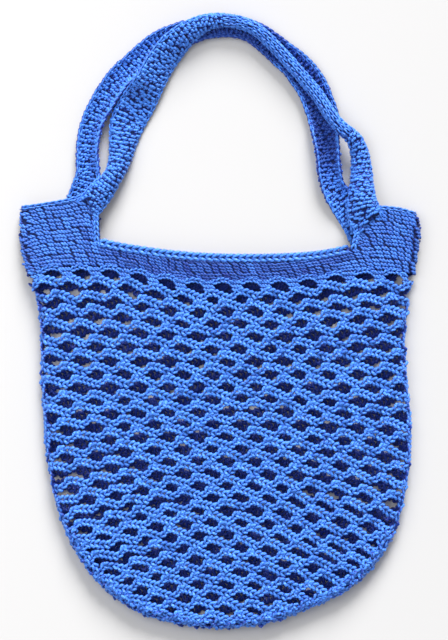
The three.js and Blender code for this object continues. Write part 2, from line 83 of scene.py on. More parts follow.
@dataclass(frozen=True)
class Table:
    """Rows listed under named columns, read between its rows on one smooth curve."""

    columns: tuple[str, ...]
    rows: tuple[tuple[float, ...], ...]

    def at(self, places: Array) -> dict[str, Array]:
        """Reads every column part way between the rows.

        Args:
            places: Row numbers, with the share of the way to the next row as their fraction.

        Returns:
            The values of each column, by its name.
        """
        rows = np.array(self.rows, float)
        last = len(rows) - 1
        index = np.clip(np.floor(places).astype(int), 0, last - 1)
        share = (np.asarray(places, float) - index)[..., None]
        before, start, end, after = (rows[np.clip(index + step, 0, last)] for step in (-1, 0, 1, 2))
        leaving = (end - before) / 2
        arriving = (after - start) / 2
        rise = end - start
        bend = 3 * rise - 2 * leaving - arriving
        twist = leaving + arriving - 2 * rise
        values = start + share * (leaving + share * (bend + share * twist))
        return {name: values[..., column] for column, name in enumerate(self.columns)}

    def drawn(self, steps: int) -> dict[str, Array]:
        """Reads every column along the whole table, at a number of places from each row to the next."""
        return self.at(np.linspace(0, len(self.rows) - 1, (len(self.rows) - 1) * steps + 1))

    def read(self, column: str, by: str, values: Array) -> Array:
        """Reads one column where another one, whose values rise down the table, has given values."""
        drawn = self.drawn(8)
        return np.interp(values, drawn[by], drawn[column])


# The outline as it lies, left ear, round base, right ear: shares of half the width and of the length
OUTLINE = Table(("across", "down"), (
    (-0.99, -0.08), (-0.99, 0.002), (-1.0, 0.045), (-0.99, 0.106), (-0.96, 0.173), (-0.91, 0.229), (-0.89, 0.296),
    (-0.89, 0.378), (-0.88, 0.485), (-0.855, 0.608), (-0.805, 0.721), (-0.72, 0.818), (-0.6, 0.896),
    (-0.425, 0.957), (-0.21, 0.989), (0.02, 1.0), (0.24, 0.987), (0.46, 0.95), (0.65, 0.905), (0.8, 0.832),
    (0.89, 0.742), (0.935, 0.638), (0.95, 0.532), (0.93, 0.414), (0.92, 0.333), (0.93, 0.26), (0.955, 0.201),
    (0.98, 0.139), (1.0, 0.059), (0.975, 0.012), (0.965, -0.08),
))

# The top edges of the two ears, and the dipped rim between the roots of a strap
LEFT_EAR = Table(("across", "down"), ((-0.99, 0.002), (-0.8, -0.012), (-0.72, -0.021), (-0.65, -0.035)))
LEFT_BRAID = Table(("across", "down"), (*LEFT_EAR.rows, (-0.6, -0.05), (-0.565, -0.066)))
RIM = Table(("across", "down"), (
    (-0.61, 0.078), (-0.475, 0.092), (-0.22, 0.109), (0.02, 0.116), (0.275, 0.116), (0.495, 0.109), (0.665, 0.092),
))
RIGHT_EAR = Table(("across", "down"), ((0.765, 0.0), (0.84, 0.002), (0.915, 0.007), (0.965, 0.016)))

# The two steep sides of the mouth, below the roots of the straps
MOUTH_CORNERS = (
    Table(("across", "down"), ((-0.622, -0.05), (-0.618, 0.0), (-0.62, 0.045), (-0.612, 0.1))),
    Table(("across", "down"), ((0.745, -0.01), (0.715, 0.03), (0.685, 0.07), (0.665, 0.105))),
)

# Where the close band ends and the net begins
SEAM = Table(("across", "down"), (
    (-0.965, 0.165), (-0.85, 0.148), (-0.55, 0.146), (-0.425, 0.155), (-0.285, 0.17), (-0.14, 0.182),
    (0.18, 0.182), (0.33, 0.179), (0.465, 0.172), (0.605, 0.161), (0.745, 0.155), (0.87, 0.158), (0.98, 0.166),
))

# How the rounds of the net bend: the share of the seam's shape that they keep, and how far their left and
# right ends hang below their middle, as shares of the length
ROUND_BEND = Table(("down", "seam", "left", "right"), (
    (0.17, 1.0, 0.0, 0.0), (0.37, 0.05, 0.0, 0.0), (0.55, 0.0, 0.035, 0.03), (0.65, 0.0, 0.085, 0.055),
    (0.75, 0.0, 0.1, 0.085), (1.0, 0.0, 0.1, 0.1),
))

# How tall a round of the band is, in shares of a stitch's height
BAND_ROUNDS = Table(("across", "height"), (
    (-1.0, 1.02), (-0.8, 0.98), (-0.66, 1.05), (-0.56, 0.85), (-0.3, 0.76), (0.2, 0.74), (0.5, 0.8), (0.68, 0.9),
    (0.8, 0.98), (1.0, 0.96),
))

# The straps as they lie, from the left root over the crown to the right root. up is a share of the handles'
# rise and width of the strap's; lift is in strap thicknesses, join a share of the front layer's level. roll
# tips the outer edge up, and curl bends the strap across itself, edges up where it is above zero, in degrees.
# gloom paints shade on its upper face, in the other strap's shadow. A column that is left out is zero all along.
FRONT_STRAP = Table(("across", "up", "width", "lift", "join", "roll", "curl"), (
    (-0.8, -0.17, 0.8, 0, 1, 0, 0), (-0.69, -0.05, 0.75, 0, 1, 0, -20), (-0.595, 0.06, 0.75, 0, 1, 8, -90),
    (-0.53, 0.14, 0.8, 0.3, 0.6, 12, -190), (-0.495, 0.23, 0.95, 0.1, 0.15, 12, -190),
    (-0.475, 0.34, 1, 0, 0, 12, -130), (-0.4575, 0.44, 1, 0, 0, 8, -30), (-0.41, 0.53, 1, 0.18, 0, 14, -10),
    (-0.354, 0.623, 0.97, 0.82, 0, 33, -10), (-0.302, 0.722, 0.94, 0.58, 0, 33, -20),
    (-0.237, 0.81, 0.9, 0.6, 0, 33, -35), (-0.157, 0.882, 0.74, 1.5, 0, 28, -80),
    (-0.07, 0.936, 0.56, 2, 0, 20, -130), (0.02, 0.951, 0.5, 1.8, 0, 15, -170),
    (0.095, 0.942, 0.48, 1.7, 0, 15, -190), (0.16, 0.917, 0.5, 1.6, 0, 15, -200),
    (0.22, 0.87, 0.5, 1.5, 0, 15, -200), (0.28, 0.808, 0.5, 1.4, 0, 15, -200),
    (0.345, 0.736, 0.5, 1.3, 0, 15, -200), (0.415, 0.653, 0.5, 1.3, 0, 15, -200),
    (0.485, 0.565, 0.5, 1.5, 0, 15, -200), (0.545, 0.467, 0.5, 2.3, 0, 15, -200),
    (0.595, 0.402, 0.5, 2.5, 0, 15, -200), (0.662, 0.337, 0.6, 2, 0, 18, -180),
    (0.69, 0.265, 0.7, 0.9, 0, 18, -170), (0.7, 0.18, 0.85, 0.7, 0.1, 12, -180),
    (0.702, 0.085, 0.95, 0.6, 0.65, 10, -165), (0.705, 0, 1, 0, 1, 8, -110), (0.735, -0.09, 1, 0, 1, 2, -30),
    (0.805, -0.19, 1, 0, 1, 0, 0),
))
BACK_STRAP = Table(("across", "up", "width", "roll", "curl", "gloom"), (
    (-0.72, -0.15, 0.85, 0, 0, 0), (-0.705, -0.02, 0.85, 0, 10, 0), (-0.68, 0.075, 0.82, 0, 60, 0),
    (-0.656, 0.16, 0.82, -8, 115, 0), (-0.658, 0.25, 0.8, -12, 125, 0), (-0.652, 0.34, 0.8, -14, 125, 0),
    (-0.63, 0.43, 0.82, -14, 125, 0), (-0.593, 0.508, 0.84, -14, 120, 0), (-0.548, 0.585, 0.86, -14, 120, 0),
    (-0.5, 0.653, 0.86, -14, 120, 0), (-0.435, 0.715, 0.86, -14, 120, 0), (-0.365, 0.782, 0.86, -12, 115, 0),
    (-0.3, 0.833, 0.86, -8, 105, 0), (-0.23, 0.869, 0.84, 0, 95, 0), (-0.155, 0.896, 0.8, 0, 90, 1.1),
    (-0.07, 0.917, 0.64, 0, 75, 1.1), (0.025, 0.926, 0.62, 0, 70, 1.1), (0.105, 0.918, 0.62, 0, 70, 1.1),
    (0.178, 0.89, 0.7, 0, 70, 1.1), (0.247, 0.84, 0.76, 0, 70, 1.1), (0.31, 0.785, 0.81, 0, 70, 1.1),
    (0.367, 0.736, 0.87, 0, 70, 1.1), (0.418, 0.677, 0.93, 0, 65, 1.1), (0.463, 0.608, 0.93, 0, 65, 1.1),
    (0.493, 0.532, 0.93, 0, 65, 1.1), (0.518, 0.454, 0.95, 0, 68, 1.1), (0.524, 0.37, 0.97, -4, 130, 1.1),
    (0.534, 0.275, 0.97, -6, 160, 1.1), (0.545, 0.171, 0.95, -4, 160, 0.7), (0.572, 0.078, 0.8, 0, 110, 0),
    (0.64, -0.01, 0.88, 0, 10, 0), (0.69, -0.09, 0.88, 0, 0, 0), (0.73, -0.18, 0.88, 0, 0, 0),
))


class Layer(IntEnum):
    """The two layers of the bag as it lies."""

    FRONT = 1
    BACK = -1


class StitchKind(IntEnum):
    """The stitches that the bag is worked in, in the order of their patterns' names."""

    CHAIN = 0
    KNOT = 1
    TREBLE = 2
    SHORT = 3


@dataclass(frozen=True)
class Sizes:
    """The bag's driving sizes, in metres, with its place in the frame."""

    width: float = 0.4
    length: float = 0.423
    handle_rise: float = 0.193
    depth: float = 0.015
    wall: float = 0.0045
    strap_width: float = 0.035
    strap_thickness: float = 0.0045
    rim_edging: float = 0.008
    ear_edging: float = 0.005
    yarn: float = 0.0025
    base: float = cad_box[0][1]
    middle: float = (cad_box[0][0] + cad_box[1][0]) / 2

    @property
    def front_level(self) -> float:
        """The level of the front layer's underside."""
        return self.depth - self.wall

    def spot(self, across: Array, down: Array) -> Array:
        """Turns shares of the outline into places, as rows of x and y."""
        x = self.middle + np.asarray(across) * self.width / 2
        y = self.base + (1 - np.asarray(down)) * self.length
        return np.stack(np.broadcast_arrays(x, y), axis=-1)

    def share_across(self, x: Array) -> Array:
        """Turns places across the bag into shares of half its width."""
        return (x - self.middle) / (self.width / 2)

    def edge_y(self, edge: Table, x: Array) -> Array:
        """Reads the y of one of the drawn edges at places across the bag."""
        across = self.share_across(x)
        return self.spot(across, edge.read("down", "across", across))[:, 1]


def unit(vectors: Array) -> Array:
    """Scales rows of vectors to a length of one."""
    return vectors / np.maximum(np.linalg.norm(vectors, axis=-1, keepdims=True), 1e-12)


def leftward(vectors: Array) -> Array:
    """Turns rows of flat vectors a quarter turn to their left."""
    return np.stack((-vectors[..., 1], vectors[..., 0]), axis=-1)


def lengths_along(points: Array) -> Array:
    """Measures how far each point of a line lies from its start."""
    return np.concatenate(([0.0], np.cumsum(np.linalg.norm(np.diff(points, axis=0), axis=1))))


def at_lengths(places: Array, along: Array, values: Array) -> Array:
    """Reads rows of values, known at some lengths along a line, at other lengths along it."""
    return np.stack([np.interp(places, along, column) for column in values.T], axis=-1)


class Cloth:
    """The body of the bag as one cloth in two layers, bent round the fold at its sides and base."""

    bulge: float = 0.0014
    ahead: float = 0.001

    def __init__(self, sizes: Sizes) -> None:
        """Draws the line that the fold turns about.

        Args:
            sizes: The bag's sizes.
        """
        self.sizes = sizes
        self.turn = (sizes.depth - sizes.wall) / 2
        self.edge = self.turn * math.pi / 2
        drawn = OUTLINE.drawn(8)
        outline = sizes.spot(drawn["across"], drawn["down"])
        self.outward = -leftward(unit(np.gradient(outline, axis=0)))
        self.line = outline - self.outward * sizes.depth / 2

    def nearest(self, points: Array) -> tuple[Array, Array, Array]:
        """Finds how far points lie beyond the line that the fold turns about.

        Args:
            points: Rows of x and y.

        Returns:
            The distances, below zero inside the line, with the nearest places on it and its outward directions.
        """
        starts, steps = self.line[:-1], np.diff(self.line, axis=0)
        offset = points[:, None, :] - starts[None]
        share = np.clip((offset * steps).sum(-1) / (steps**2).sum(-1), 0, 1)
        feet = starts + share[..., None] * steps
        gaps = np.linalg.norm(points[:, None, :] - feet, axis=-1)
        best = gaps.argmin(axis=1)
        row = np.arange(len(points))
        part = share[row, best][:, None]
        outward = unit(self.outward[best] * (1 - part) + self.outward[best + 1] * part)
        foot = feet[row, best]
        side = np.sign(((points - foot) * outward).sum(-1))
        return gaps[row, best] * side, foot, outward

    def lay(self, points: Array, layers: Array | int, lift: float) -> tuple[Array, Array]:
        """Lays flat places of the cloth into the bag, round its fold where they reach past it.

        Args:
            points: Rows of x and y on the spread cloth.
            layers: The layer of all places or of each, 1 at the front and -1 at the back.
            lift: How far the places lie outside the middle of the cloth.

        Returns:
            The places and the directions that point out of the cloth, as rows of x, y and z.
        """
        beyond, foot, outward = self.nearest(points)
        angle = np.clip(beyond / self.turn, 0, math.pi / 2)
        reach = self.turn + lift + self.bulge * np.sin(angle)
        bent = foot + outward * (reach * np.sin(angle))[:, None]
        flat = np.where(beyond[:, None] > 0, bent, points)
        level = self.sizes.depth / 2 + layers * reach * np.cos(angle)
        normal = np.concatenate((outward * np.sin(angle)[:, None], (layers * np.cos(angle))[:, None]), axis=1)
        return np.concatenate((flat, level[:, None]), axis=1), normal

    def set_out(self, points: Array, heading: Array, layers: Array, lift: float) -> tuple[Array, Array, Array]:
        """Lays places of a round into the bag, and gives their directions along the round and out of the cloth."""
        at, out = self.lay(points, layers, lift)
        return at, unit(self.lay(points + heading * self.ahead, layers, lift)[0] - at), out


class Round:
    """One round of stitches, across the front and back again behind, over the fold at both sides."""

    reach: float = 0.53
    samples: int = 600
    step: float = 0.002

    def __init__(self, cloth: Cloth, height: Reading, back_shift: float = 0.0) -> None:
        """Measures the round.

        Args:
            cloth: The cloth that it lies in.
            height: Gives the y of the round at each x.
            back_shift: How far the back's middle lies below the front's.
        """
        reach = cloth.sizes.width * self.reach
        self.x = cloth.sizes.middle + np.linspace(-reach, reach, self.samples)
        self.line = np.stack((self.x, height(self.x)), axis=-1)
        beyond = cloth.nearest(self.line)[0]
        self.deepest = beyond.min()
        inside = np.flatnonzero(beyond < cloth.edge)
        along = lengths_along(self.line)
        centre = np.interp(cloth.sizes.middle, self.x, along)
        self.along = along - centre
        self.left, self.right = self.along[inside[0]], self.along[inside[-1]]
        self.ends = self.x[inside[0]], self.x[inside[-1]]
        self.about = 2 * (self.right - self.left)
        self.back_shift = back_shift

    def at(self, places: Array) -> tuple[Array, Array, Array]:
        """Finds places on the round.

        Args:
            places: Lengths along it from the middle of the front, rightwards.

        Returns:
            Rows of x and y, the directions of the round there, and the layer of each place.
        """
        wrapped = (places - self.left) % self.about + self.left
        layers = np.where(wrapped <= self.right, int(Layer.FRONT), int(Layer.BACK))
        along = np.where(wrapped <= self.right, wrapped, 2 * self.right - wrapped)
        points = at_lengths(along, self.along, self.line)
        heading = unit(at_lengths(along + self.step, self.along, self.line) - points)
        middle = np.clip(1 - (2 * (along - self.left) / (self.right - self.left) - 1) ** 12, 0, 1)
        points[:, 1] -= np.where(layers == int(Layer.BACK), self.back_shift * middle, 0.0)
        return points, heading * layers[:, None], layers


@dataclass(frozen=True)
class Stitch:
    """A stitch as strands of yarn, drawn in shares of its length and width and in yarn thicknesses.

    The fourth number of each point says how thick the yarn is there, as a share of its usual thickness.
    """

    kind: StitchKind
    length: float
    width: float
    strands: tuple[tuple[tuple[float, ...], ...], ...]
    steps: int = 1

    def drawn(self, yarn: float) -> bpy.types.Object:
        """Draws the stitch's strands as lines.

        Args:
            yarn: How thick the yarn is.

        Returns:
            An object whose mesh has an edge for each stretch of yarn, with how far along its yarn each point is
            and how thick the yarn is there.
        """
        scale = np.array((self.length, self.width, yarn))
        points, edges, along, thick = [], [], [], []
        for strand in self.strands:
            drawn = Table(("x", "y", "z", "thick"), strand).drawn(self.steps)
            line = np.stack([drawn[axis] for axis in "xyz"], axis=-1) * scale
            edges += [(len(points) + index, len(points) + index + 1) for index in range(len(line) - 1)]
            points += line.tolist()
            along += lengths_along(line).tolist()
            thick += drawn["thick"].tolist()
        mesh = bpy.data.meshes.new(f"pattern_{int(self.kind)}_{self.kind.name.lower()}")
        mesh.from_pydata(points, edges, [])
        for name, values in (("along", along), ("thick", thick)):
            mesh.attributes.new(name, "FLOAT", "POINT").data.foreach_set("value", values)
        return bpy.data.objects.new(mesh.name, mesh)


STITCHES = (
    Stitch(StitchKind.CHAIN, 0.0047, 0.0048, (
        ((1.1, 0.06, -0.45, 0.9), (1.02, 0.45, -0.05, 1.0), (0.7, 0.52, 0.3, 1.15), (0.25, 0.28, 0.28, 1.15),
         (-0.14, 0.0, -0.1, 1.0), (0.25, -0.28, 0.28, 1.15), (0.7, -0.52, 0.3, 1.15), (1.02, -0.45, -0.05, 1.0),
         (1.1, -0.06, -0.45, 0.9)),
    )),
    Stitch(StitchKind.KNOT, 0.006, 0.0065, (
        ((-0.22, -0.5, -0.2, 1.0), (-0.3, -0.12, 0.25, 1.15), (-0.14, 0.3, 0.35, 1.15), (0.0, 0.52, -0.15, 1.0)),
        ((0.22, -0.5, -0.2, 1.0), (0.32, -0.1, 0.25, 1.15), (0.24, 0.3, 0.35, 1.15), (0.12, 0.52, -0.15, 1.0)),
    )),
    Stitch(StitchKind.TREBLE, 0.0072, 0.0124, (
        ((-0.74, 0.46, -0.3, 1), (-0.55, 0.42, 0.2, 1.1), (-0.25, 0.29, 0.25, 1.1), (-0.04, 0.16, -0.35, 0.9)),
        ((-0.29, 0.48, -0.3, 1), (-0.11, 0.41, 0.25, 1.1), (0.2, 0.26, 0.2, 1.1), (0.41, 0.12, -0.35, 0.9)),
        ((-0.53, 0.12, -0.35, 0.9), (-0.37, 0.08, 0.2, 1.1), (-0.07, -0.05, 0.25, 1.1), (0.15, -0.18, -0.35, 0.9)),
        ((-0.08, 0.1, -0.35, 0.9), (0.1, 0.04, 0.25, 1.1), (0.38, -0.1, 0.2, 1.1), (0.6, -0.24, -0.35, 0.9)),
        ((-0.31, -0.22, -0.35, 0.9), (-0.14, -0.26, 0.2, 1.06), (0.13, -0.38, 0.2, 1.06), (0.32, -0.5, -0.35, 0.9)),
        ((0.11, -0.22, -0.35, 0.9), (0.29, -0.29, 0.25, 1.06), (0.54, -0.4, 0.15, 1.02), (0.7, -0.5, -0.35, 0.9)),
    )),
    Stitch(StitchKind.SHORT, 0.0066, 0.0046, (
        ((-0.52, -0.1, -0.4, 0.9), (-0.38, 0.04, 0.15, 1.2), (0.26, 0.16, 0.3, 1.35), (0.5, 0.06, -0.4, 1.0)),
        ((-0.24, -0.42, -0.35, 0.9), (0.12, -0.4, 0.1, 1.1), (0.44, -0.16, -0.4, 0.9)),
    )),
)


class Tree:
    """A tree of nodes, for stitches or for a finish, built one node at a time."""

    def __init__(self, tree: bpy.types.NodeTree) -> None:
        """Takes the empty tree that the nodes go into."""
        self.tree = tree

    def node(self, kind: str, settings: dict[str, object] | None = None, **inputs: object) -> bpy.types.Node:
        """Adds a node.

        Args:
            kind: The node's type.
            settings: What is set on the node itself, before its sockets.
            inputs: The value or the link of each socket, by its name with spaces as underscores, or input_2
                for the third one.

        Returns:
            The node.
        """
        node = self.tree.nodes.new(kind)
        for name, value in (settings or {}).items():
            setattr(node, name, value)
        for name, value in inputs.items():
            words = name.replace("_", " ")
            number = name.removeprefix("input_")
            socket = node.inputs[int(number)] if number.isdigit() else node.inputs[words]
            self.feed(socket, value)
        return node

    def feed(self, socket: bpy.types.NodeSocket, value: object) -> None:
        """Links or sets one socket.

        Args:
            socket: The socket to be fed.
            value: A wrapped socket, a bare socket or a plain value.
        """
        source = value.socket if isinstance(value, Flow) else value
        if isinstance(source, bpy.types.NodeSocket):
            self.tree.links.new(source, socket)
        else:
            socket.default_value = source


@dataclass(frozen=True)
class Flow:
    """A number that flows through a tree of nodes, for use in plain expressions."""

    tree: Tree
    socket: bpy.types.NodeSocket

    def maths(self, operation: str, *others: object) -> "Flow":
        """Adds a Math node on this number.

        Args:
            operation: What the node works out.
            others: The further numbers that it needs.

        Returns:
            The node's result.
        """
        node = self.tree.node("ShaderNodeMath", {"operation": operation}, input_0=self)
        for index, other in enumerate(others, start=1):
            self.tree.feed(node.inputs[index], other)
        return Flow(self.tree, node.outputs[0])

    def __add__(self, other: object) -> "Flow":
        """Adds."""
        return self.maths("ADD", other)

    def __mul__(self, other: object) -> "Flow":
        """Multiplies."""
        return self.maths("MULTIPLY", other)

    def __sub__(self, other: object) -> "Flow":
        """Takes away."""
        return self.maths("SUBTRACT", other)

    def __rsub__(self, other: float) -> "Flow":
        """Takes this number away from a plain one."""
        return (self * -1.0) + other

    __radd__ = __add__
    __rmul__ = __mul__


def blank_material(name: str) -> tuple[bpy.types.Material, Tree]:
    """Makes a material with an empty tree.

    Args:
        name: The material's name.

    Returns:
        The material and its tree.
    """
    material = bpy.data.materials.new(name)
    material.use_nodes = True
    material.node_tree.nodes.clear()
    return material, Tree(material.node_tree)


@dataclass(frozen=True)
class YarnFinish:
    """Plied cotton yarn: a colour painted from dark blue in shade to light blue where lit, a soft gloss and the
    twist of its plies.
    """

    name: str
    # The dark blue of painted shade, on the side of the yarn that faces into the cloth and in folds
    painted_shade: tuple[float, float, float]
    # The light blue of painted light, on the yarn's lit tops
    light: tuple[float, float, float]
    roughness: float = 0.42
    sheen: float = 0.12
    plies: int = 4
    lay: float = 0.009
    relief: float = 0.6
    # Painted shade: the yarn is darkest at the hollow and lightest at the crest, in yarn radii of rise
    hollow: float = 0.0
    crest: float = 1.32
    patch_scale: float = 340.0
    fibre_scale: float = 2600.0
    # How much the grooves between the plies are darkened, as painted shade
    ply_groove_shade: float = 0.25
    shade_tone: float = 0.25
    patch_tone: float = 0.4
    least_tone: float = 0.4
    fibre_height: float = 0.35
    ply_depth: float = 0.0004

    def material(self) -> bpy.types.Material:
        """Builds the finish from its nodes.

        Returns:
            The finished material.
        """
        material, tree = blank_material(self.name)
        shade, along, rise, lit = (
            Flow(tree, tree.node("ShaderNodeAttribute", {"attribute_name": name}).outputs["Fac"])
            for name in ("shade", "along", "rise", "lit"))
        about = tree.node("ShaderNodeAttribute", {"attribute_name": "about"}).outputs["Vector"]
        parts = tree.node("ShaderNodeSeparateXYZ", Vector=about)
        angle = Flow(tree, parts.outputs["Y"]).maths("ARCTAN2", parts.outputs["X"])
        twist = angle * float(self.plies) + along * (self.plies * 2 * math.pi / self.lay)
        ply = twist.maths("COSINE") * 0.5 + 0.5
        objects = tree.node("ShaderNodeTexCoord").outputs["Object"]
        patches, fibre = (tree.node("ShaderNodeTexNoise", Vector=objects, Scale=scale, Detail=2.0, Roughness=0.6)
                          for scale in (self.patch_scale, self.fibre_scale))
        mottle = tree.node("ShaderNodeMapRange", Value=patches.outputs["Fac"], From_Min=0.35, From_Max=0.65)
        # Painted shade: the yarn darkens on the side that faces into the cloth, by how high each point lies over
        # its line
        outer = tree.node("ShaderNodeMapRange", {"interpolation_type": "SMOOTHSTEP"}, Value=rise,
                          From_Min=self.hollow, From_Max=self.crest)
        # The tone mixes painted shade and light (the inner side, the ply grooves and each stitch's painted light)
        # with tone that differs at random
        spread = (ply * self.ply_groove_shade + shade * self.shade_tone + Flow(tree, mottle.outputs[0]) * self.patch_tone
                  + self.least_tone)
        tone = Flow(tree, outer.outputs[0]) * spread * lit
        colour = tree.node("ShaderNodeMix", {"data_type": "RGBA"}, input_0=tone.maths("MAXIMUM", 0.0),
                           input_6=(*self.painted_shade, 1.0), input_7=(*self.light, 1.0))
        height = ply + Flow(tree, fibre.outputs["Fac"]) * self.fibre_height
        bump = tree.node("ShaderNodeBump", Strength=self.relief, Distance=self.ply_depth, Height=height)
        rough = Flow(tree, fibre.outputs["Fac"]) * 0.2 + (self.roughness - 0.1)
        shader = tree.node("ShaderNodeBsdfPrincipled", Base_Color=colour.outputs[2], Roughness=rough,
                           Normal=bump.outputs["Normal"], Sheen_Weight=self.sheen, Sheen_Roughness=0.4,
                           Specular_IOR_Level=0.45)
        tree.node("ShaderNodeOutputMaterial", Surface=shader.outputs["BSDF"])
        return material


@dataclass(frozen=True)
class PlainFinish:
    """An even, matt finish."""

    name: str
    colour: tuple[float, float, float]
    roughness: float = 0.9

    def material(self) -> bpy.types.Material:
        """Builds the finish from its nodes.

        Returns:
            The finished material.
        """
        material, tree = blank_material(self.name)
        objects = tree.node("ShaderNodeTexCoord").outputs["Object"]
        grain = tree.node("ShaderNodeTexNoise", Vector=objects, Scale=900.0, Detail=2.0)
        bump = tree.node("ShaderNodeBump", Strength=0.1, Distance=0.0002, Height=grain.outputs["Fac"])
        shader = tree.node("ShaderNodeBsdfPrincipled", Base_Color=(*self.colour, 1.0), Roughness=self.roughness,
                           Normal=bump.outputs["Normal"])
        tree.node("ShaderNodeOutputMaterial", Surface=shader.outputs["BSDF"])
        return material


class Hook:
    """The crochet hook: turns places and patterns into stitches of real yarn, with Geometry Nodes."""

    def __init__(self, yarn: float, sides: int = 5) -> None:
        """Draws the patterns and builds the tree.

        Args:
            yarn: How thick the yarn is.
            sides: How many sides its section has.
        """
        self.yarn = yarn
        self.sides = sides
        self.patterns = bpy.data.collections.new("patterns")
        for stitch in STITCHES:
            self.patterns.objects.link(stitch.drawn(yarn))
        self.tree = self.build()

    def build(self) -> bpy.types.NodeTree:
        """Builds the tree that spins each pattern's lines into yarn and sets one at each place.

        Returns:
            The tree, whose inputs are the patterns, the yarn's radius and sides, and the finish.
        """
        group = bpy.data.node_groups.new("crochet", "GeometryNodeTree")
        sockets = (("Places", "Geometry"), ("Patterns", "Collection"), ("Yarn Radius", "Float"),
                   ("Yarn Sides", "Int"), ("Finish", "Material"))
        for name, kind in sockets:
            group.interface.new_socket(name, in_out="INPUT", socket_type=f"NodeSocket{kind}")
        group.interface.new_socket("Stitches", in_out="OUTPUT", socket_type="NodeSocketGeometry")
        tree = Tree(group)
        given = tree.node("NodeGroupInput").outputs

        def named(name: str, kind: str) -> bpy.types.NodeSocket:
            """Reads an attribute of the places."""
            return tree.node("GeometryNodeInputNamedAttribute", {"data_type": kind}, Name=name).outputs[0]

        patterns = tree.node("GeometryNodeCollectionInfo", Collection=given["Patterns"],
                             Separate_Children=True, Reset_Children=True)
        lines = tree.node("GeometryNodeMeshToCurve", Mesh=patterns.outputs[0])
        ring = tree.node("GeometryNodeCurvePrimitiveCircle", Resolution=given["Yarn Sides"],
                         Radius=given["Yarn Radius"])
        marked = tree.node("GeometryNodeStoreNamedAttribute", {"data_type": "FLOAT_VECTOR", "domain": "POINT"},
                           Geometry=ring.outputs["Curve"], Name="about",
                           Value=tree.node("GeometryNodeInputPosition").outputs[0])
        yarn = tree.node("GeometryNodeCurveToMesh", Curve=lines.outputs[0], Profile_Curve=marked.outputs[0],
                         Scale=named("thick", "FLOAT"), Fill_Caps=True)
        smooth = tree.node("GeometryNodeSetShadeSmooth", Geometry=yarn.outputs[0])
        here = tree.node("ShaderNodeSeparateXYZ", Vector=tree.node("GeometryNodeInputPosition").outputs[0])
        # How high each point lies over its strand's line, in yarn radii, from which the finish paints shade
        rise = Flow(tree, here.outputs["Z"]).maths("DIVIDE", given["Yarn Radius"])
        risen = tree.node("GeometryNodeStoreNamedAttribute", {"data_type": "FLOAT", "domain": "POINT"},
                          Geometry=smooth.outputs[0], Name="rise", Value=rise)
        turned = tree.node("FunctionNodeAxesToRotation", {"primary_axis": "X", "secondary_axis": "Z"},
                           Primary_Axis=named("run", "FLOAT_VECTOR"), Secondary_Axis=named("out", "FLOAT_VECTOR"))
        placed = tree.node("GeometryNodeInstanceOnPoints", Points=given["Places"], Instance=risen.outputs[0],
                           Pick_Instance=True, Instance_Index=named("kind", "INT"), Rotation=turned.outputs[0],
                           Scale=named("size", "FLOAT_VECTOR"))
        real = tree.node("GeometryNodeRealizeInstances", Geometry=placed.outputs[0])
        dressed = tree.node("GeometryNodeSetMaterial", Geometry=real.outputs[0], Material=given["Finish"])
        tree.node("NodeGroupOutput", Stitches=dressed.outputs[0])
        return group

    def work(self, name: str, stitches: "Swatch", finish: bpy.types.Material) -> bpy.types.Object:
        """Works a swatch of stitches.

        Args:
            name: The piece's name.
            stitches: The places, directions and sizes of its stitches.
            finish: The yarn's material.

        Returns:
            The piece, as a plain mesh in the frame.
        """
        places = stitches.places(name)
        modifier = places.modifiers.new("crochet", "NODES")
        modifier.node_group = self.tree
        values = {"Patterns": self.patterns, "Yarn Radius": self.yarn / 2, "Yarn Sides": self.sides,
                  "Finish": finish}
        for item in self.tree.interface.items_tree:
            if item.in_out == "INPUT" and item.name in values:
                modifier[item.identifier] = values[item.name]
        bpy.context.scene.collection.objects.link(places)
        graph = bpy.context.evaluated_depsgraph_get()
        mesh = bpy.data.meshes.new_from_object(places.evaluated_get(graph), depsgraph=graph)
        places.modifiers.remove(modifier)
        bpy.data.objects.remove(places)
        mesh.name = name
        self.settle(mesh)
        return bpy.data.objects.new(name, mesh)

    def settle(self, mesh: bpy.types.Mesh, soft: float = 0.0006) -> None:
        """Presses the yarn flat where it would reach through the surface that the bag lies on.

        Args:
            mesh: The stitches' mesh.
            soft: The height at which the yarn begins to give way.
        """
        spots = np.empty(len(mesh.vertices) * 3)
        mesh.vertices.foreach_get("co", spots)
        level = spots[2::3]
        pressed = soft * np.exp((np.minimum(level, soft) - soft) / (4 * soft))
        spots[2::3] = np.where(level < soft, pressed, level)
        mesh.vertices.foreach_set("co", spots)
        mesh.update()

    def put_away(self) -> None:
        """Removes the patterns once every piece is worked."""
        for pattern in list(self.patterns.objects):
            bpy.data.objects.remove(pattern)
        bpy.data.collections.remove(self.patterns)


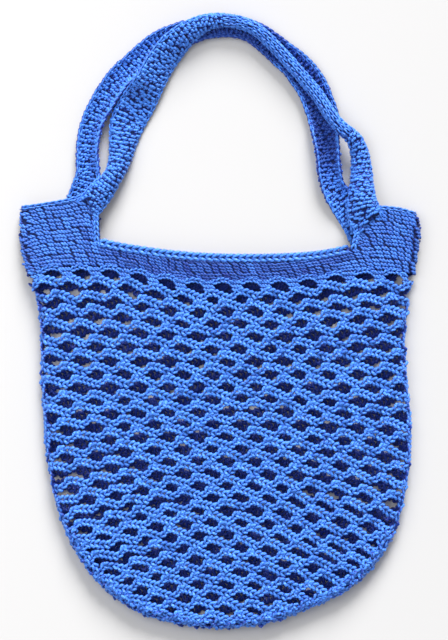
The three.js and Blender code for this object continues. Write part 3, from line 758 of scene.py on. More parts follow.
@dataclass
class Swatch:
    """Stitches gathered for one piece."""

    chance: np.random.Generator
    parts: list[dict[str, Array]] = field(default_factory=list)

    def add(self, kind: StitchKind, at: Array, run: Array, out: Array, size: Array, *, roll: float,
            lit: float | Array = 1.0) -> None:
        """Gathers stitches of one kind.

        Args:
            kind: Which stitch they are.
            at: Their places.
            run: The direction that each is worked in.
            out: The direction out of the cloth.
            size: Their sizes, in shares of the stitch's own length, width and thickness, one or a row for each.
            roll: How far they may be turned about their run by chance, in radians.
            lit: Painted light and shade in their yarn's colour, 0 as in a fold and 1 in the open, once or for each.
        """
        count = len(at)
        turn = self.chance.normal(0, roll, count)[:, None]
        out = unit(out - (out * run).sum(-1, keepdims=True) * run)
        tipped = out * np.cos(turn) + np.cross(run, out) * np.sin(turn)
        self.parts.append({
            "kind": np.full(count, int(kind)),
            "at": at,
            "run": run,
            "out": tipped,
            "size": np.broadcast_to(size, (count, 3)),
            "shade": self.chance.uniform(0, 1, count),
            "lit": np.broadcast_to(lit, count).astype(float),
        })

    def kept(self, test: Reading) -> "Swatch":
        """Takes the stitches whose places pass a test into a swatch of their own."""
        parts = [{name: values[test(part["at"])] for name, values in part.items()} for part in self.parts]
        return Swatch(self.chance, parts)

    def places(self, name: str) -> bpy.types.Object:
        """Sets the stitches' places down as the points of a mesh.

        Args:
            name: The piece's name.

        Returns:
            An object with a point for each stitch.
        """
        joined = {key: np.concatenate([part[key] for part in self.parts]) for key in self.parts[0]}
        mesh = bpy.data.meshes.new(f"{name}_places")
        mesh.from_pydata(joined["at"].tolist(), [], [])
        for key in ("run", "out", "size"):
            mesh.attributes.new(key, "FLOAT_VECTOR", "POINT").data.foreach_set("vector", joined[key].ravel())
        # The random tone of each stitch, and its painted light and shade
        for key in ("shade", "lit"):
            mesh.attributes.new(key, "FLOAT", "POINT").data.foreach_set("value", joined[key])
        mesh.attributes.new("kind", "INT", "POINT").data.foreach_set("value", joined["kind"])
        return bpy.data.objects.new(mesh.name, mesh)


def chain_along(swatch: Swatch, line: Array, out: Array, width: float | Array, pitch: float, *, roll: float,
                lit: float | Array = 1.0) -> None:
    """Lays a chain of stitches along a line in space.

    Args:
        swatch: The stitches that it joins.
        line: The points of the line.
        out: The direction out of the cloth at each point.
        width: How wide the chain is between the middles of its outer strands, once or at each point.
        pitch: How long each of its stitches is, as near as a whole number of them comes.
        roll: How far the chain may be turned by chance, in radians.
        lit: Painted light and shade in its yarn's colour, once or at each point.
    """
    along = lengths_along(line)
    count = max(round(along[-1] / pitch), 1)
    starts = np.arange(count) * along[-1] / count
    ends = starts + along[-1] / count
    here, ahead = at_lengths(starts, along, line), at_lengths(ends, along, line)
    chain = STITCHES[StitchKind.CHAIN]
    wide, light = (np.interp((starts + ends) / 2, along, np.broadcast_to(value, len(line)))
                   for value in (width, lit))
    size = np.stack((np.full(count, along[-1] / count / chain.length), wide / chain.width, np.ones(count)), axis=-1)
    swatch.add(StitchKind.CHAIN, here, unit(ahead - here), unit(at_lengths(starts, along, out)), size,
               roll=roll, lit=light)


def closed_sheet(name: str, rings: Array, round_again: bool, material: bpy.types.Material) -> bpy.types.Object:
    """Makes a thin closed sheet from rings of points.

    Args:
        name: The sheet's name.
        rings: The points of each ring, over one face and back under the other.
        round_again: Whether the last ring meets the first.
        material: What the sheet is made of.

    Returns:
        The sheet, with its faces outwards.
    """
    count, size = rings.shape[:2]
    index = np.arange(count * size).reshape(count, size)
    ahead = np.roll(index, -1, axis=0)
    beside = np.roll(index, -1, axis=1)
    across = np.roll(ahead, -1, axis=1)
    quads = np.stack((index, beside, across, ahead), axis=-1)
    quads = quads if round_again else quads[:-1]
    faces = quads.reshape(-1, 4).tolist()
    if not round_again:
        half = range(size // 2 - 1)
        faces += [(index[0, i], index[0, -1 - i], index[0, -2 - i], index[0, i + 1]) for i in half]
        faces += [(index[-1, i], index[-1, i + 1], index[-1, -2 - i], index[-1, -1 - i]) for i in half]
    mesh = bpy.data.meshes.new(name)
    mesh.from_pydata(rings.reshape(-1, 3).tolist(), [], faces)
    corners = rings.reshape(-1, 3)[np.array(faces)]
    volume = sum((corners[:, 0] * np.cross(corners[:, i], corners[:, i + 1])).sum() for i in (1, 2))
    if volume < 0:
        mesh.flip_normals()
    mesh.shade_smooth()
    mesh.materials.append(material)
    return bpy.data.objects.new(name, mesh)


# How an arc of the net hangs: how far below its ends and how wide it is between its outer strands, in metres,
# at shares of its way
ARC = Table(("share", "drop", "wide"), (
    (0.0, 0.0001, 0.0056), (0.1, 0.0004, 0.006), (0.25, 0.0015, 0.0063), (0.4, 0.0031, 0.0065),
    (0.55, 0.0051, 0.0065), (0.66, 0.0067, 0.006), (0.74, 0.0071, 0.0054), (0.82, 0.0058, 0.0048),
    (0.92, 0.0028, 0.0046), (1.0, 0.0008, 0.0048),
))


@dataclass
class Net:
    """The pouch: rounds of chain arcs, each hung from the round above by a knot at its lowest place."""

    cloth: Cloth
    chance: np.random.Generator
    cell: float = 0.0286
    pitch: float = 0.01235
    link: float = 0.0047
    phase: float = -0.41
    start: float = 0.009
    post: float = 0.0014
    first_reach: float = 0.0108
    post_half: float = 0.0042
    post_apart: float = 0.0029
    post_heights: tuple[float, float] = (0.0122, 0.0126)
    post_width: float = 0.95
    # Painted shade: the posts and the arches that hang the first round from the band are painted a little darker
    post_painted_light: float = 0.85
    arch_rise: float = 0.0112
    arch_fall: float = 0.0036
    arch_width: float = 0.004
    arch_painted_light: float = 0.9
    knot_width: tuple[float, float] = (1.3, 1.6)
    knot_height: float = 0.0035
    knot_heights: tuple[float, float] = (0.95, 1.1)
    lift: float = 0.0002
    lift_spread: float = 0.0002
    fullness: tuple[float, float] = (0.92, 1.08)
    back_shift: float = 0.0056
    back_width: float = 1.45
    unevenness: float = 0.0009
    sag: tuple[float, float] = (0.82, 1.15)
    base_waves: tuple[tuple[Layer, float, float, float], ...] = (
        (Layer.FRONT, 0.42, 0.5, 0.76), (Layer.FRONT, 0.42, -0.5, 0.76),
        (Layer.BACK, 0.4, 0.35, 0.78), (Layer.BACK, 0.4, -0.35, 0.78),
    )
    side_wave: tuple[float, float] = (0.84, 0.14)
    side_reach: tuple[float, float] = (0.22, 0.8)
    wave_width: tuple[float, float] = (0.0054, 0.0016)
    waist: float = 0.45
    swatch: Swatch = field(init=False)

    def __post_init__(self) -> None:
        """Starts with no stitches."""
        self.swatch = Swatch(self.chance)

    def height(self, number: int) -> Reading:
        """Says where a round lies.

        Args:
            number: Which round, from the band down.

        Returns:
            A function that gives the round's y at each x.
        """
        sizes = self.cloth.sizes
        middle_seam = float(SEAM.read("down", "across", np.array(0.0)))
        down = middle_seam + (self.start + number * self.pitch) / sizes.length
        bend = {name: float(ROUND_BEND.read(name, "down", np.array(down))) for name in ("seam", "left", "right")}

        def y_at(x: Array) -> Array:
            """Reads where the round lies.

            Args:
                x: Places across the bag.

            Returns:
                The round's y at each of them.
            """
            across = sizes.share_across(x)
            seam = SEAM.read("down", "across", across) - middle_seam
            droop = np.where(across < 0, bend["left"], bend["right"]) * across**2
            return sizes.spot(across, down + bend["seam"] * seam + droop)[:, 1]

        return y_at

    def work(self) -> None:
        """Works every round from the band to the base."""
        number = 0
        while True:
            round_ = Round(self.cloth, self.height(number), self.back_shift)
            if round_.deepest > -self.pitch * 0.4:
                break
            count = 2 * round(round_.about / self.cell / 2 - 0.5) + 1
            pitch = round_.about / count
            phase = self.phase + number / 2
            knots = (np.arange(count) + phase) * pitch
            shift = self.chance.normal(0, self.unevenness, (count, 2))
            self.arcs(round_, knots, shift, pitch)
            if number:
                self.knots(round_, knots, shift)
            else:
                self.posts(round_, knots, pitch)
            number += 1
        log.info("net: %d rounds", number)

    def arcs(self, round_: Round, knots: Array, shift: Array, pitch: float) -> None:
        """Works the arcs of one round.

        Args:
            round_: The round.
            knots: How far along it each knot lies.
            shift: How far each knot strays, along and down.
            pitch: The way from one knot to the next.
        """
        steps = np.linspace(0, 1, 17)
        drop, wide = ARC.read("drop", "share", steps), ARC.read("wide", "share", steps)
        for index, start in enumerate(knots):
            after = (index + 1) % len(knots)
            sag = self.chance.uniform(*self.sag)
            stray = shift[index] * (1 - steps)[:, None] + shift[after] * steps[:, None]
            places = start + pitch * steps + stray[:, 0]
            points, heading, layers = round_.at(places)
            down = leftward(heading) * -layers[:, None]
            lift = self.lift + self.chance.normal(0, self.lift_spread)
            line, out = self.cloth.lay(points + down * (drop * sag + stray[:, 1])[:, None], layers, lift)
            fuller = np.where(layers == int(Layer.BACK), self.back_width, 1.0) * self.chance.uniform(*self.fullness)
            chain_along(self.swatch, line, out, wide * fuller, self.link, roll=0.25)

    def posts(self, round_: Round, knots: Array, pitch: float) -> None:
        """Works the pairs of tall stitches that hang the first round from the band, and the arches between them.

        Args:
            round_: The round that hangs.
            knots: How far along it each pair lies.
            pitch: The way from one pair to the next.
        """
        treble = STITCHES[StitchKind.TREBLE]
        for side, tall in zip((-1, 1), self.post_heights):
            points, heading, layers = round_.at(knots + side * self.post_apart)
            down = leftward(heading) * -layers[:, None]
            middle = points - down * (self.first_reach - tall / 2)
            at, run, out = self.cloth.set_out(middle, heading, layers, 0.0)
            size = np.array((self.post_width, tall / treble.width, 1.0))
            keep = self.cloth.nearest(middle)[0] < self.cloth.edge * 0.4
            run *= layers[:, None]
            self.swatch.add(StitchKind.TREBLE, at[keep], run[keep], out[keep], size, roll=0.08, lit=self.post_painted_light)
        share = np.linspace(0, 1, 9)
        for start in knots:
            points, heading, layers = round_.at(start + self.post_half + (pitch - 2 * self.post_half) * share)
            if np.ptp(layers) or (self.cloth.nearest(points)[0] > 0).any():
                continue
            height = self.arch_rise - self.arch_fall * (2 * share - 1) ** 2
            up = leftward(heading) * layers[:, None] * height[:, None]
            line, out = self.cloth.lay(points + up, layers, 0.0003)
            chain_along(self.swatch, line, out, self.arch_width, self.link, roll=0.2, lit=self.arch_painted_light)

    def knots(self, round_: Round, knots: Array, shift: Array) -> None:
        """Works the knots that hang a round from the one above.

        Args:
            round_: The round that hangs.
            knots: How far along it each knot lies.
            shift: How far each knot strays, along and down.
        """
        points, heading, layers = round_.at(knots + shift[:, 0])
        down = leftward(heading) * -layers[:, None]
        middle = points + down * (shift[:, 1] - self.post / 2)[:, None]
        at, run, out = self.cloth.set_out(middle, heading, layers, 0.0)
        tall = (self.knot_height + self.post) / STITCHES[StitchKind.KNOT].width
        size = np.stack((self.chance.uniform(*self.knot_width, len(at)),
                         tall * self.chance.uniform(*self.knot_heights, len(at)), np.ones(len(at))), axis=-1)
        self.swatch.add(StitchKind.KNOT, at, run, out, size, roll=0.2)

    def edge_chains(self) -> None:
        """Lays the chains that wave along the fold, round the base and up the sides."""
        line, outward = self.cloth.line, self.cloth.outward
        sizes = self.cloth.sizes
        along = lengths_along(line)
        down = 1 - (line[:, 1] - sizes.base) / sizes.length
        left = np.arange(len(line)) < down.argmax()
        sides = (down > self.side_reach[0]) & (down < self.side_reach[1])
        waves = [(layer, share, sway, down > start) for layer, share, sway, start in self.base_waves]
        waves += [(Layer.FRONT, *self.side_wave, sides & side) for side in (left, ~left)]
        for layer, share, sway, belongs in waves:
            shares = share + sway * np.sin(along[belongs] / self.cell * math.pi * 2)
            points = line[belongs] + outward[belongs] * (self.cloth.edge * shares)[:, None]
            laid, out = self.cloth.lay(points, int(layer), 0.0004)
            usual, more = self.wave_width
            wide = usual + more * np.sin(along[belongs] / self.pitch * math.pi * 2)
            chain_along(self.swatch, laid, out, wide, self.link, roll=0.5)

    def pieces(self, hook: Hook, finish: bpy.types.Material) -> list[bpy.types.Object]:
        """Works the net into pieces.

        Args:
            hook: What works the stitches.
            finish: The yarn's material.

        Returns:
            The front and the back of the net, each in an upper and a lower piece.
        """
        self.work()
        self.edge_chains()
        sizes = self.cloth.sizes
        waist = sizes.base + sizes.length * self.waist
        made = []
        for layer in Layer:
            for name, above in (("upper", True), ("lower", False)):
                part = self.swatch.kept(
                    lambda at: ((at[:, 2] - sizes.depth / 2) * int(layer) > 0) & ((at[:, 1] > waist) == above))
                made.append(hook.work(f"net_{layer.name.lower()}_{name}", part, finish))
        return made


@dataclass
class Band:
    """The close band round the mouth, with its raised ears, worked in tall stitches."""

    cloth: Cloth
    chance: np.random.Generator
    rounds: int = 6
    # How thick the dark sheet of painted shade inside the band is
    shade_sheet: float = 0.0006
    overlap: float = 0.002
    least: float = 0.14
    back_drop: float = 0.0115
    lift: float = 0.0003
    stagger: float = 0.3
    stray: float = 0.0003
    widths: tuple[float, float] = (0.88, 1.1)
    heights: tuple[float, float] = (0.88, 1.02)
    swing: float = 0.11
    # Painted shade across the band: darkest in its middle under the rim, lighter towards the ears, with a random
    # spread
    painted_light_across: tuple[tuple[float, ...], tuple[float, ...]] = ((0.0, 0.5, 0.7), (0.28, 0.4, 0.7))
    painted_light_spread: float = 0.1
    # Painted shadow under the rim: stitches cut short by the band's top are painted darker
    cut_painted_shade: float = 0.8
    cut_below: float = 0.97
    corner_width: float = 0.0042
    corner_link: float = 0.0052

    def top(self, x: Array, under: float = 0.0) -> Array:
        """Says how high the band reaches at each x.

        Args:
            x: Places across the bag.
            under: How far it reaches up behind its braid, as a share of the braid's height.

        Returns:
            The y of its top.
        """
        sizes = self.cloth.sizes
        across = sizes.share_across(x)
        left_ear, rim, right_ear = (edge.read("down", "across", across) for edge in (LEFT_EAR, RIM, RIGHT_EAR))
        ears = np.where(across < 0, left_ear, right_ear)
        corners = LEFT_EAR.rows[-1], RIM.rows[0], RIM.rows[-1], RIGHT_EAR.rows[0]
        slopes = np.interp(across, *zip(*corners))
        inner = (across > corners[1][0]) & (across < corners[2][0])
        steep = (across > corners[0][0]) & (across < corners[3][0])
        down = np.select([inner, steep], [rim, slopes], ears)
        edging = np.where(inner, sizes.rim_edging, sizes.ear_edging)
        return sizes.spot(across, down)[:, 1] - edging * (1 - under)

    def above(self, at: Array) -> Array:
        """Tells which places are above the band's top."""
        return at[:, 1] > self.top(at[:, 0]) - self.cloth.sizes.ear_edging / 2

    def line(self, number: float) -> Reading:
        """Says where a round of the band lies.

        Args:
            number: Which round, from the seam up, with a fraction for the way up it.

        Returns:
            A function that gives its y at each x.
        """
        sizes = self.cloth.sizes
        tall = STITCHES[StitchKind.TREBLE].width

        def y_at(x: Array) -> Array:
            """Gives the round's y at each x."""
            share = BAND_ROUNDS.read("height", "across", sizes.share_across(x))
            return sizes.edge_y(SEAM, x) + number * tall * share

        return y_at

    def lower(self, x: Array, layers: Array) -> Array:
        """Says how much lower the band reaches than its seam at each x, behind."""
        share = self.cloth.sizes.share_across(x)
        return np.where(layers == int(Layer.BACK), self.back_drop * np.clip(1 - share**4, 0, 1), 0.0)

    def stitches(self) -> Swatch:
        """Works the band's rounds, the last ones lower where they meet the band's top.

        Returns:
            The stitches.
        """
        swatch = Swatch(self.chance)
        treble = STITCHES[StitchKind.TREBLE]
        for number in range(self.rounds):
            round_ = Round(self.cloth, self.line(number + 0.5))
            count = round(round_.about / treble.length)
            pitch = round_.about / count
            places = (np.arange(count) + number * self.stagger) * pitch + self.chance.normal(0, self.stray, count)
            points, heading, layers = round_.at(places)
            share = BAND_ROUNDS.read("height", "across", self.cloth.sizes.share_across(points[:, 0]))
            foot = points[:, 1] - treble.width * share / 2
            head = np.minimum(foot + treble.width * share, self.top(points[:, 0]) + self.overlap)
            foot -= self.lower(points[:, 0], layers) if number == 0 else 0.0
            part = (head - foot) / (treble.width * share)
            keep = part > self.least
            points[:, 1] = (head + foot) / 2
            points, heading, layers, tall = points[keep], heading[keep], layers[keep], (share * part)[keep]
            at, run, out = self.cloth.set_out(points, heading, layers, self.lift)
            wide = self.chance.uniform(*self.widths, len(at)) * pitch / treble.length
            tall *= self.chance.uniform(*self.heights, len(at))
            size = np.stack((wide, tall, np.ones(len(at))), axis=-1)
            across = np.abs(self.cloth.sizes.share_across(points[:, 0]))
            # Painted light and shade of each stitch
            lit = np.interp(across, *self.painted_light_across) + self.chance.normal(0, self.painted_light_spread, len(at))
            lit *= np.where(part[keep] < self.cut_below, self.cut_painted_shade, 1.0)
            run *= layers[:, None]
            run = unit(run + np.cross(out, run) * self.chance.normal(0, self.swing, len(at))[:, None])
            swatch.add(StitchKind.TREBLE, at, run, out, size, roll=0.08, lit=lit)
        self.corners(swatch)
        return swatch

    def corners(self, swatch: Swatch) -> None:
        """Works the short chains down the steep sides of the mouth, at the straps' roots.

        Args:
            swatch: The stitches that they join.
        """
        for corner in MOUTH_CORNERS:
            for layer in Layer:
                drawn = corner.drawn(4)
                points = self.cloth.sizes.spot(drawn["across"], drawn["down"])
                line, out = self.cloth.lay(points, int(layer), 0.0006)
                chain_along(swatch, line, out, self.corner_width, self.corner_link, roll=0.2)

    def painted_shade_sheet(self, finish: bpy.types.Material) -> bpy.types.Object:
        """Makes a dark sheet inside the cloth, painted shade that shows between the stitches.

        Args:
            finish: Its material.

        Returns:
            A thin closed sheet, once round the bag.
        """
        shares = np.linspace(0, 1, 160, endpoint=False)
        faces = []
        for side in (1, -1):
            for part in np.linspace(0, 1, 10)[::side]:
                def y_at(x: Array, part: float = part) -> Array:
                    """Gives the height of this part of the band at each x."""
                    return self.line(0.05)(x) * (1 - part) + self.top(x, 0.6) * part
                left, right = Round(self.cloth, y_at).ends
                x = np.concatenate((left + shares * (right - left), right + shares * (left - right)))
                layers = np.repeat((int(Layer.FRONT), int(Layer.BACK)), len(shares))
                points = np.stack((x, y_at(x) - self.lower(x, layers) * (1 - part)), axis=-1)
                faces.append(self.cloth.lay(points, layers, side * self.shade_sheet / 2)[0])
        return closed_sheet("top_band_heart", np.stack(faces, axis=1), True, finish)


@dataclass
class Edging:
    """The braided edge along the rims and over the ears."""

    cloth: Cloth
    chance: np.random.Generator
    link: float = 0.0068
    lift: float = 0.0006

    def braid(self, table: Table, height: float, start: tuple[Layer, float], end: tuple[Layer, float],
              layer: Layer = Layer.FRONT) -> Swatch:
        """Works a braid from one place to another, over the fold where they are on different layers.

        Args:
            table: The line of its top edge.
            height: How tall it is.
            start: The layer and the share across of its left or back end.
            end: The layer and the share across of its right or back end.
            layer: The layer of a braid that crosses no fold.

        Returns:
            The stitches.
        """
        round_ = Round(self.cloth, lambda x: self.cloth.sizes.edge_y(table, x) - height / 2)
        middle, half = self.cloth.sizes.middle, self.cloth.sizes.width / 2
        ends = [np.interp(middle + share * half, round_.x, round_.along) for _, share in (start, end)]
        if start[0] is Layer.BACK and end[0] is Layer.FRONT:
            ends[0] = 2 * round_.left - ends[0]
        if start[0] is Layer.FRONT and end[0] is Layer.BACK:
            ends[1] = 2 * round_.right - ends[1]
        points, _, layers = round_.at(np.linspace(ends[0], ends[1], 240))
        if start[0] is end[0]:
            layers = np.full(len(points), int(layer))
        at, out = self.cloth.lay(points, layers, self.lift)
        swatch = Swatch(self.chance)
        chain_along(swatch, at, out, height - self.cloth.sizes.yarn * 0.8, self.link, roll=0.08)
        return swatch


@dataclass
class Strap:
    """One strap, a long strip of short stitches that lies curled and turned."""

    name: str
    table: Table
    sizes: Sizes
    chance: np.random.Generator
    edge_on: tuple[float, float] = (-1.0, -1.0)
    across: int = 6
    # How thick the dark sheet of painted shade inside the strap is
    shade_sheet: float = 0.0008
    lift: float = 0.0007
    rail: float = 0.003
    # Painted shade in the groove of a curled strap: how much it darkens, where across the strap it falls, and the
    # curl at which it is full
    groove_shade: float = 0.6
    hollow_middle: float = 0.25
    hollow_reach: float = 0.35
    full_groove: float = 80.0
    slant: float = -0.18
    slant_spread: float = 0.16
    stray: tuple[float, float] = (0.045, 0.0007)
    lengths: tuple[float, float] = (0.86, 1.06)
    # Painted light: the straps' yarn is painted lighter than the rest of the bag
    lit: float = 1.35
    rail_at: float = 0.97
    rail_link: float = 0.0062
    edge_on_chains: tuple[float, float, int] = (-0.66, 0.66, 4)
    edge_on_link: float = 0.006
    # The share of the strap's length, from its start, over which gloom paints shade on its edge chains
    painted_gloom_part: float = 0.62

    def __post_init__(self) -> None:
        """Measures the strap's path."""
        drawn = self.table.drawn(12)
        self.spots = np.linspace(0, len(self.table.rows) - 1, len(drawn["across"]))
        x = self.sizes.middle + drawn["across"] * self.sizes.width / 2
        y = self.sizes.base + self.sizes.length + drawn["up"] * self.sizes.handle_rise
        self.path = np.stack((x, y), axis=-1)
        self.along = lengths_along(self.path)

    def row(self, places: Array) -> dict[str, Array | float]:
        """Reads how the strap lies at lengths along its path."""
        return {"lift": 0.0, "join": 0.0, "gloom": 0.0} | self.table.at(np.interp(places, self.along, self.spots))

    def lay(self, places: Array, offsets: Array | float, lift: float) -> tuple[Array, Array]:
        """Finds places on the strap.

        Args:
            places: Lengths along its path.
            offsets: Where they lie across it, from -1 at its left edge to 1 at its right.
            lift: How far they lie above the middle of its thickness, or below it.

        Returns:
            The places and the directions out of the strap's upper face.
        """
        row = self.row(places)
        thick = self.sizes.strap_thickness
        width = row["width"] * self.sizes.strap_width - thick / 2
        curl = np.radians(row["curl"])
        curl = np.where(np.abs(curl) < 1e-3, 1e-3, curl)
        roll = np.radians(-row["roll"])

        def section(offset: Array | float, rise: float) -> tuple[Array, Array, Array]:
            """Finds places in the rolled section.

            Args:
                offset: Where they lie across the strap.
                rise: How far they lie above the middle of its thickness.

            Returns:
                How far right and how high they lie, and the slope of the strap there.
            """
            angle = curl * offset / 2
            x = width / curl * np.sin(angle) - rise * np.sin(angle)
            y = width / curl * (1 - np.cos(angle)) + rise * np.cos(angle)
            return x * np.cos(roll) - y * np.sin(roll), x * np.sin(roll) + y * np.cos(roll), angle + roll

        edges = [section(edge, side * thick / 2)[1] for edge in np.linspace(-1, 1, 7) for side in (-1, 1)]
        lowest = np.min(edges, axis=0)
        level = np.maximum(row["lift"] * thick + row["join"] * self.sizes.front_level, 0) - lowest
        x, y, slope = section(offsets, lift)
        step = 0.003
        path, ahead, behind = (at_lengths(np.clip(places + way, 0, self.along[-1]), self.along, self.path)
                               for way in (0, step, -step))
        right = -leftward(unit(ahead - behind))
        at = np.concatenate((path + right * x[:, None], (level + y)[:, None]), axis=1)
        out = np.concatenate((right * -np.sin(slope)[:, None], np.cos(slope)[:, None]), axis=1)
        return at, out

    def stitches(self, keep: Reading) -> Swatch:
        """Works both faces and both edges of the strap.

        Args:
            keep: Tells which places belong to the strap, above the band.

        Returns:
            The stitches.
        """
        swatch = Swatch(self.chance)
        short = STITCHES[StitchKind.SHORT]
        rows = round(self.along[-1] / short.width)
        pitch = self.along[-1] / rows
        for number in range(rows):
            place = (number + 0.5) * pitch
            if self.edge_on[0] < np.interp(place, self.along, self.spots) < self.edge_on[1]:
                continue
            beside = (np.arange(self.across) + (0.25 if number % 2 else 0.75)) / self.across * 1.9 - 0.95
            for side in (1, -1):
                offsets = beside + self.chance.normal(0, self.stray[0], self.across)
                places = place + self.chance.normal(0, self.stray[1], self.across)
                lift = side * self.lift
                at, out = self.lay(places, offsets, lift)
                right = unit(self.lay(places, offsets + 0.02, lift)[0] - at)
                slant = self.chance.normal(self.slant, self.slant_spread, self.across)[:, None]
                right = unit(right + np.cross(out, right) * slant)
                apart = self.lay(places, offsets + 2 / self.across, lift)[0]
                wide = np.linalg.norm(apart - at, axis=1) / short.length
                long = wide * self.chance.uniform(*self.lengths, self.across)
                size = np.stack((long, np.full(self.across, pitch / short.width), np.ones(self.across)), axis=-1)
                row = self.row(places)
                # Painted shade on the face that a curl turns into a groove, and on the upper face where gloom is
                # given
                hollow = np.clip(1 - ((offsets - self.hollow_middle) / self.hollow_reach) ** 2, 0, 1)
                groove_shade = np.clip(row["curl"] * side / self.full_groove, 0, 1) * hollow
                gloom = np.maximum(self.groove_shade * groove_shade, row["gloom"] * (side > 0))
                swatch.add(StitchKind.SHORT, at, right * side, out * side, size, roll=0.3, lit=self.lit - gloom)
        self.lengthwise(swatch)
        return swatch.kept(keep)

    def lengthwise(self, swatch: Swatch) -> None:
        """Works the chains along the strap's edges, and all over it where it lies edge on.

        Args:
            swatch: The stitches that they join.
        """
        flat = np.linspace(0, self.along[-1], 400)
        # Painted shade on the edge chains where gloom is given
        gloom = self.row(flat)["gloom"] * (flat < self.along[-1] * self.painted_gloom_part)
        lit = 1 - 0.75 * np.clip(gloom, 0, 1)
        for edge in (-self.rail_at, self.rail_at):
            at, out = self.lay(flat, edge, 0.0)
            chain_along(swatch, at, out, self.rail, self.rail_link, roll=0.15, lit=lit)
        if self.edge_on[1] > 0:
            places = np.linspace(*np.interp(self.edge_on, self.spots, self.along), 200)
            for offset in np.linspace(*self.edge_on_chains):
                at, out = self.lay(places, offset, self.lift)
                chain_along(swatch, at, out, self.rail, self.edge_on_link, roll=0.3)

    def painted_shade_sheet(self, keep: Reading, finish: bpy.types.Material) -> bpy.types.Object:
        """Makes a dark sheet inside the strap, painted shade that shows between the stitches.

        Args:
            keep: Tells which places belong to the strap, above the band.
            finish: Its material.

        Returns:
            A thin closed sheet along the strap.
        """
        places = np.linspace(0, self.along[-1], 260)
        places = places[keep(self.lay(places, 0.0, 0.0)[0])]
        rings = [self.lay(places, offset, side * self.shade_sheet / 2)[0]
                 for side in (1, -1) for offset in np.linspace(-0.96, 0.96, 11)[::side]]
        return closed_sheet(f"{self.name}_heart", np.stack(rings, axis=1), False, finish)


@dataclass(frozen=True)
class Studio:
    """A plain pale floor, soft light from the straps' side and a camera straight above."""

    sizes: Sizes
    view_middle: tuple[float, float] = (0.004, -0.001)
    view_height: float = 0.64
    lens: float = 140.0
    sensor: float = 36.0
    focus_level: float = 0.012
    floor_reach: float = 3.0
    floor_colour: tuple[float, float, float] = (0.618, 0.612, 0.609)
    key_energy: float = 5.4
    key_angle: float = 0.45
    key_from: tuple[float, float, float] = (0.15, 1.0, 0.48)
    fill_at: tuple[float, float, float] = (-0.9, 0.5, 1.5)
    fill_size: float = 1.5
    fill_power: float = 16.0
    room_colour: tuple[float, float, float, float] = (0.97, 0.98, 1.0, 1.0)
    room_strength: float = 0.5

    def build(self) -> None:
        """Builds the floor, the lights and the camera."""
        scene = bpy.context.scene
        scene.view_settings.view_transform = "Standard"
        mesh = bpy.data.meshes.new("floor")
        corners = ((-1, -1), (1, -1), (1, 1), (-1, 1))
        mesh.from_pydata([(x * self.floor_reach, y * self.floor_reach, 0) for x, y in corners], [], [(0, 1, 2, 3)])
        mesh.materials.append(PlainFinish("pale_floor", self.floor_colour).material())
        self.put("floor", mesh)
        camera = bpy.data.cameras.new("camera")
        camera.lens = self.lens
        camera.sensor_width = self.sensor
        seat = self.put("camera", camera)
        seat.location = (*self.view_middle, self.focus_level + self.view_height * self.lens / self.sensor)
        scene.camera = seat
        key = bpy.data.lights.new("key", "SUN")
        key.energy = self.key_energy
        key.angle = self.key_angle
        self.face_bag(self.put("key", key), self.key_from)
        fill = bpy.data.lights.new("fill", "AREA")
        fill.size = self.fill_size
        fill.energy = self.fill_power
        lamp = self.put("fill", fill)
        lamp.location = self.fill_at
        self.face_bag(lamp, self.fill_at)
        world = bpy.data.worlds.new("room")
        world.use_nodes = True
        background = world.node_tree.nodes["Background"]
        background.inputs["Color"].default_value = self.room_colour
        background.inputs["Strength"].default_value = self.room_strength
        scene.world = world

    def put(self, name: str, data: bpy.types.ID) -> bpy.types.Object:
        """Puts something into the scene.

        Args:
            name: Its name.
            data: Its mesh, camera or light.

        Returns:
            The object.
        """
        thing = bpy.data.objects.new(name, data)
        bpy.context.scene.collection.objects.link(thing)
        return thing

    def face_bag(self, lamp: bpy.types.Object, place: tuple[float, float, float]) -> None:
        """Turns a lamp towards the bag, as seen from a place."""
        lamp.rotation_euler = (-Vector(place)).to_track_quat("-Z", "Y").to_euler()


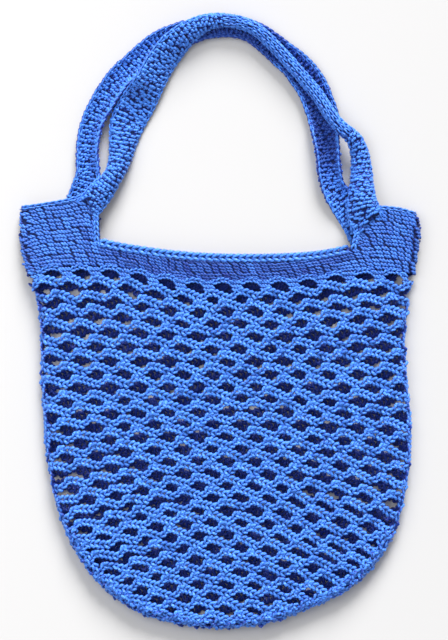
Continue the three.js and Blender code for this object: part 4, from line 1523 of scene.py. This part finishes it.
def finish_piece(piece: bpy.types.Object, *nodes: str) -> None:
    """Puts a finished piece into the frame.

    Args:
        piece: The piece.
        nodes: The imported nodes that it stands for.
    """
    bpy.context.scene.collection.objects.link(piece)
    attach(piece, "root")
    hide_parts(*nodes)
    count = sum(len(polygon.vertices) - 2 for polygon in piece.data.polygons)
    log.info("%s: %d triangles", piece.name, count)


def main() -> None:
    """Builds the bag, piece by piece."""
    logging.basicConfig(level=logging.INFO, format="%(message)s")
    sizes = Sizes()
    Studio(sizes).build()
    cloth = Cloth(sizes)
    # The yarn's colours: the dark blue of painted shade, then the light blue of painted light
    yarn = YarnFinish("royal_cotton", (0.003, 0.028, 0.29), (0.07, 0.29, 1.0)).material()
    # The dark sheets of painted shade inside the band and the straps
    painted_shade = PlainFinish("deep_cotton", (0.001, 0.014, 0.1)).material()
    hook = Hook(sizes.yarn)
    for piece in Net(cloth, np.random.default_rng(11)).pieces(hook, yarn):
        finish_piece(piece, "net_pouch")
    band = Band(cloth, np.random.default_rng(12))
    finish_piece(hook.work("top_band_stitches", band.stitches(), yarn), "top_band")
    finish_piece(band.painted_shade_sheet(painted_shade), "top_band")
    edging = Edging(cloth, np.random.default_rng(15))
    front, back = Layer.FRONT, Layer.BACK
    for name, table, height, start, end in (
        ("front_rim_edging", RIM, sizes.rim_edging, (front, -0.6), (front, 0.635)),
        ("back_rim_edging", RIM, sizes.rim_edging, (back, -0.6), (back, 0.56)),
        ("left_ear_edging", LEFT_BRAID, sizes.ear_edging, (back, -0.745), (front, -0.575)),
        ("right_ear_edging", RIGHT_EAR, sizes.ear_edging, (front, 0.768), (back, 0.79)),
    ):
        braid = edging.braid(table, height, start, end, start[0])
        finish_piece(hook.work(f"{name}_braid", braid, yarn), name)
    for name, table, seed, edge_on in (("front_strap", FRONT_STRAP, 13, (13.0, 22.6)),
                                       ("back_strap", BACK_STRAP, 14, (-1.0, -1.0))):
        strap = Strap(name, table, sizes, np.random.default_rng(seed), edge_on)
        finish_piece(hook.work(f"{name}_stitches", strap.stitches(band.above), yarn), name)
        finish_piece(strap.painted_shade_sheet(band.above, painted_shade), name)
    hook.put_away()


if __name__ == "__main__":
    main()
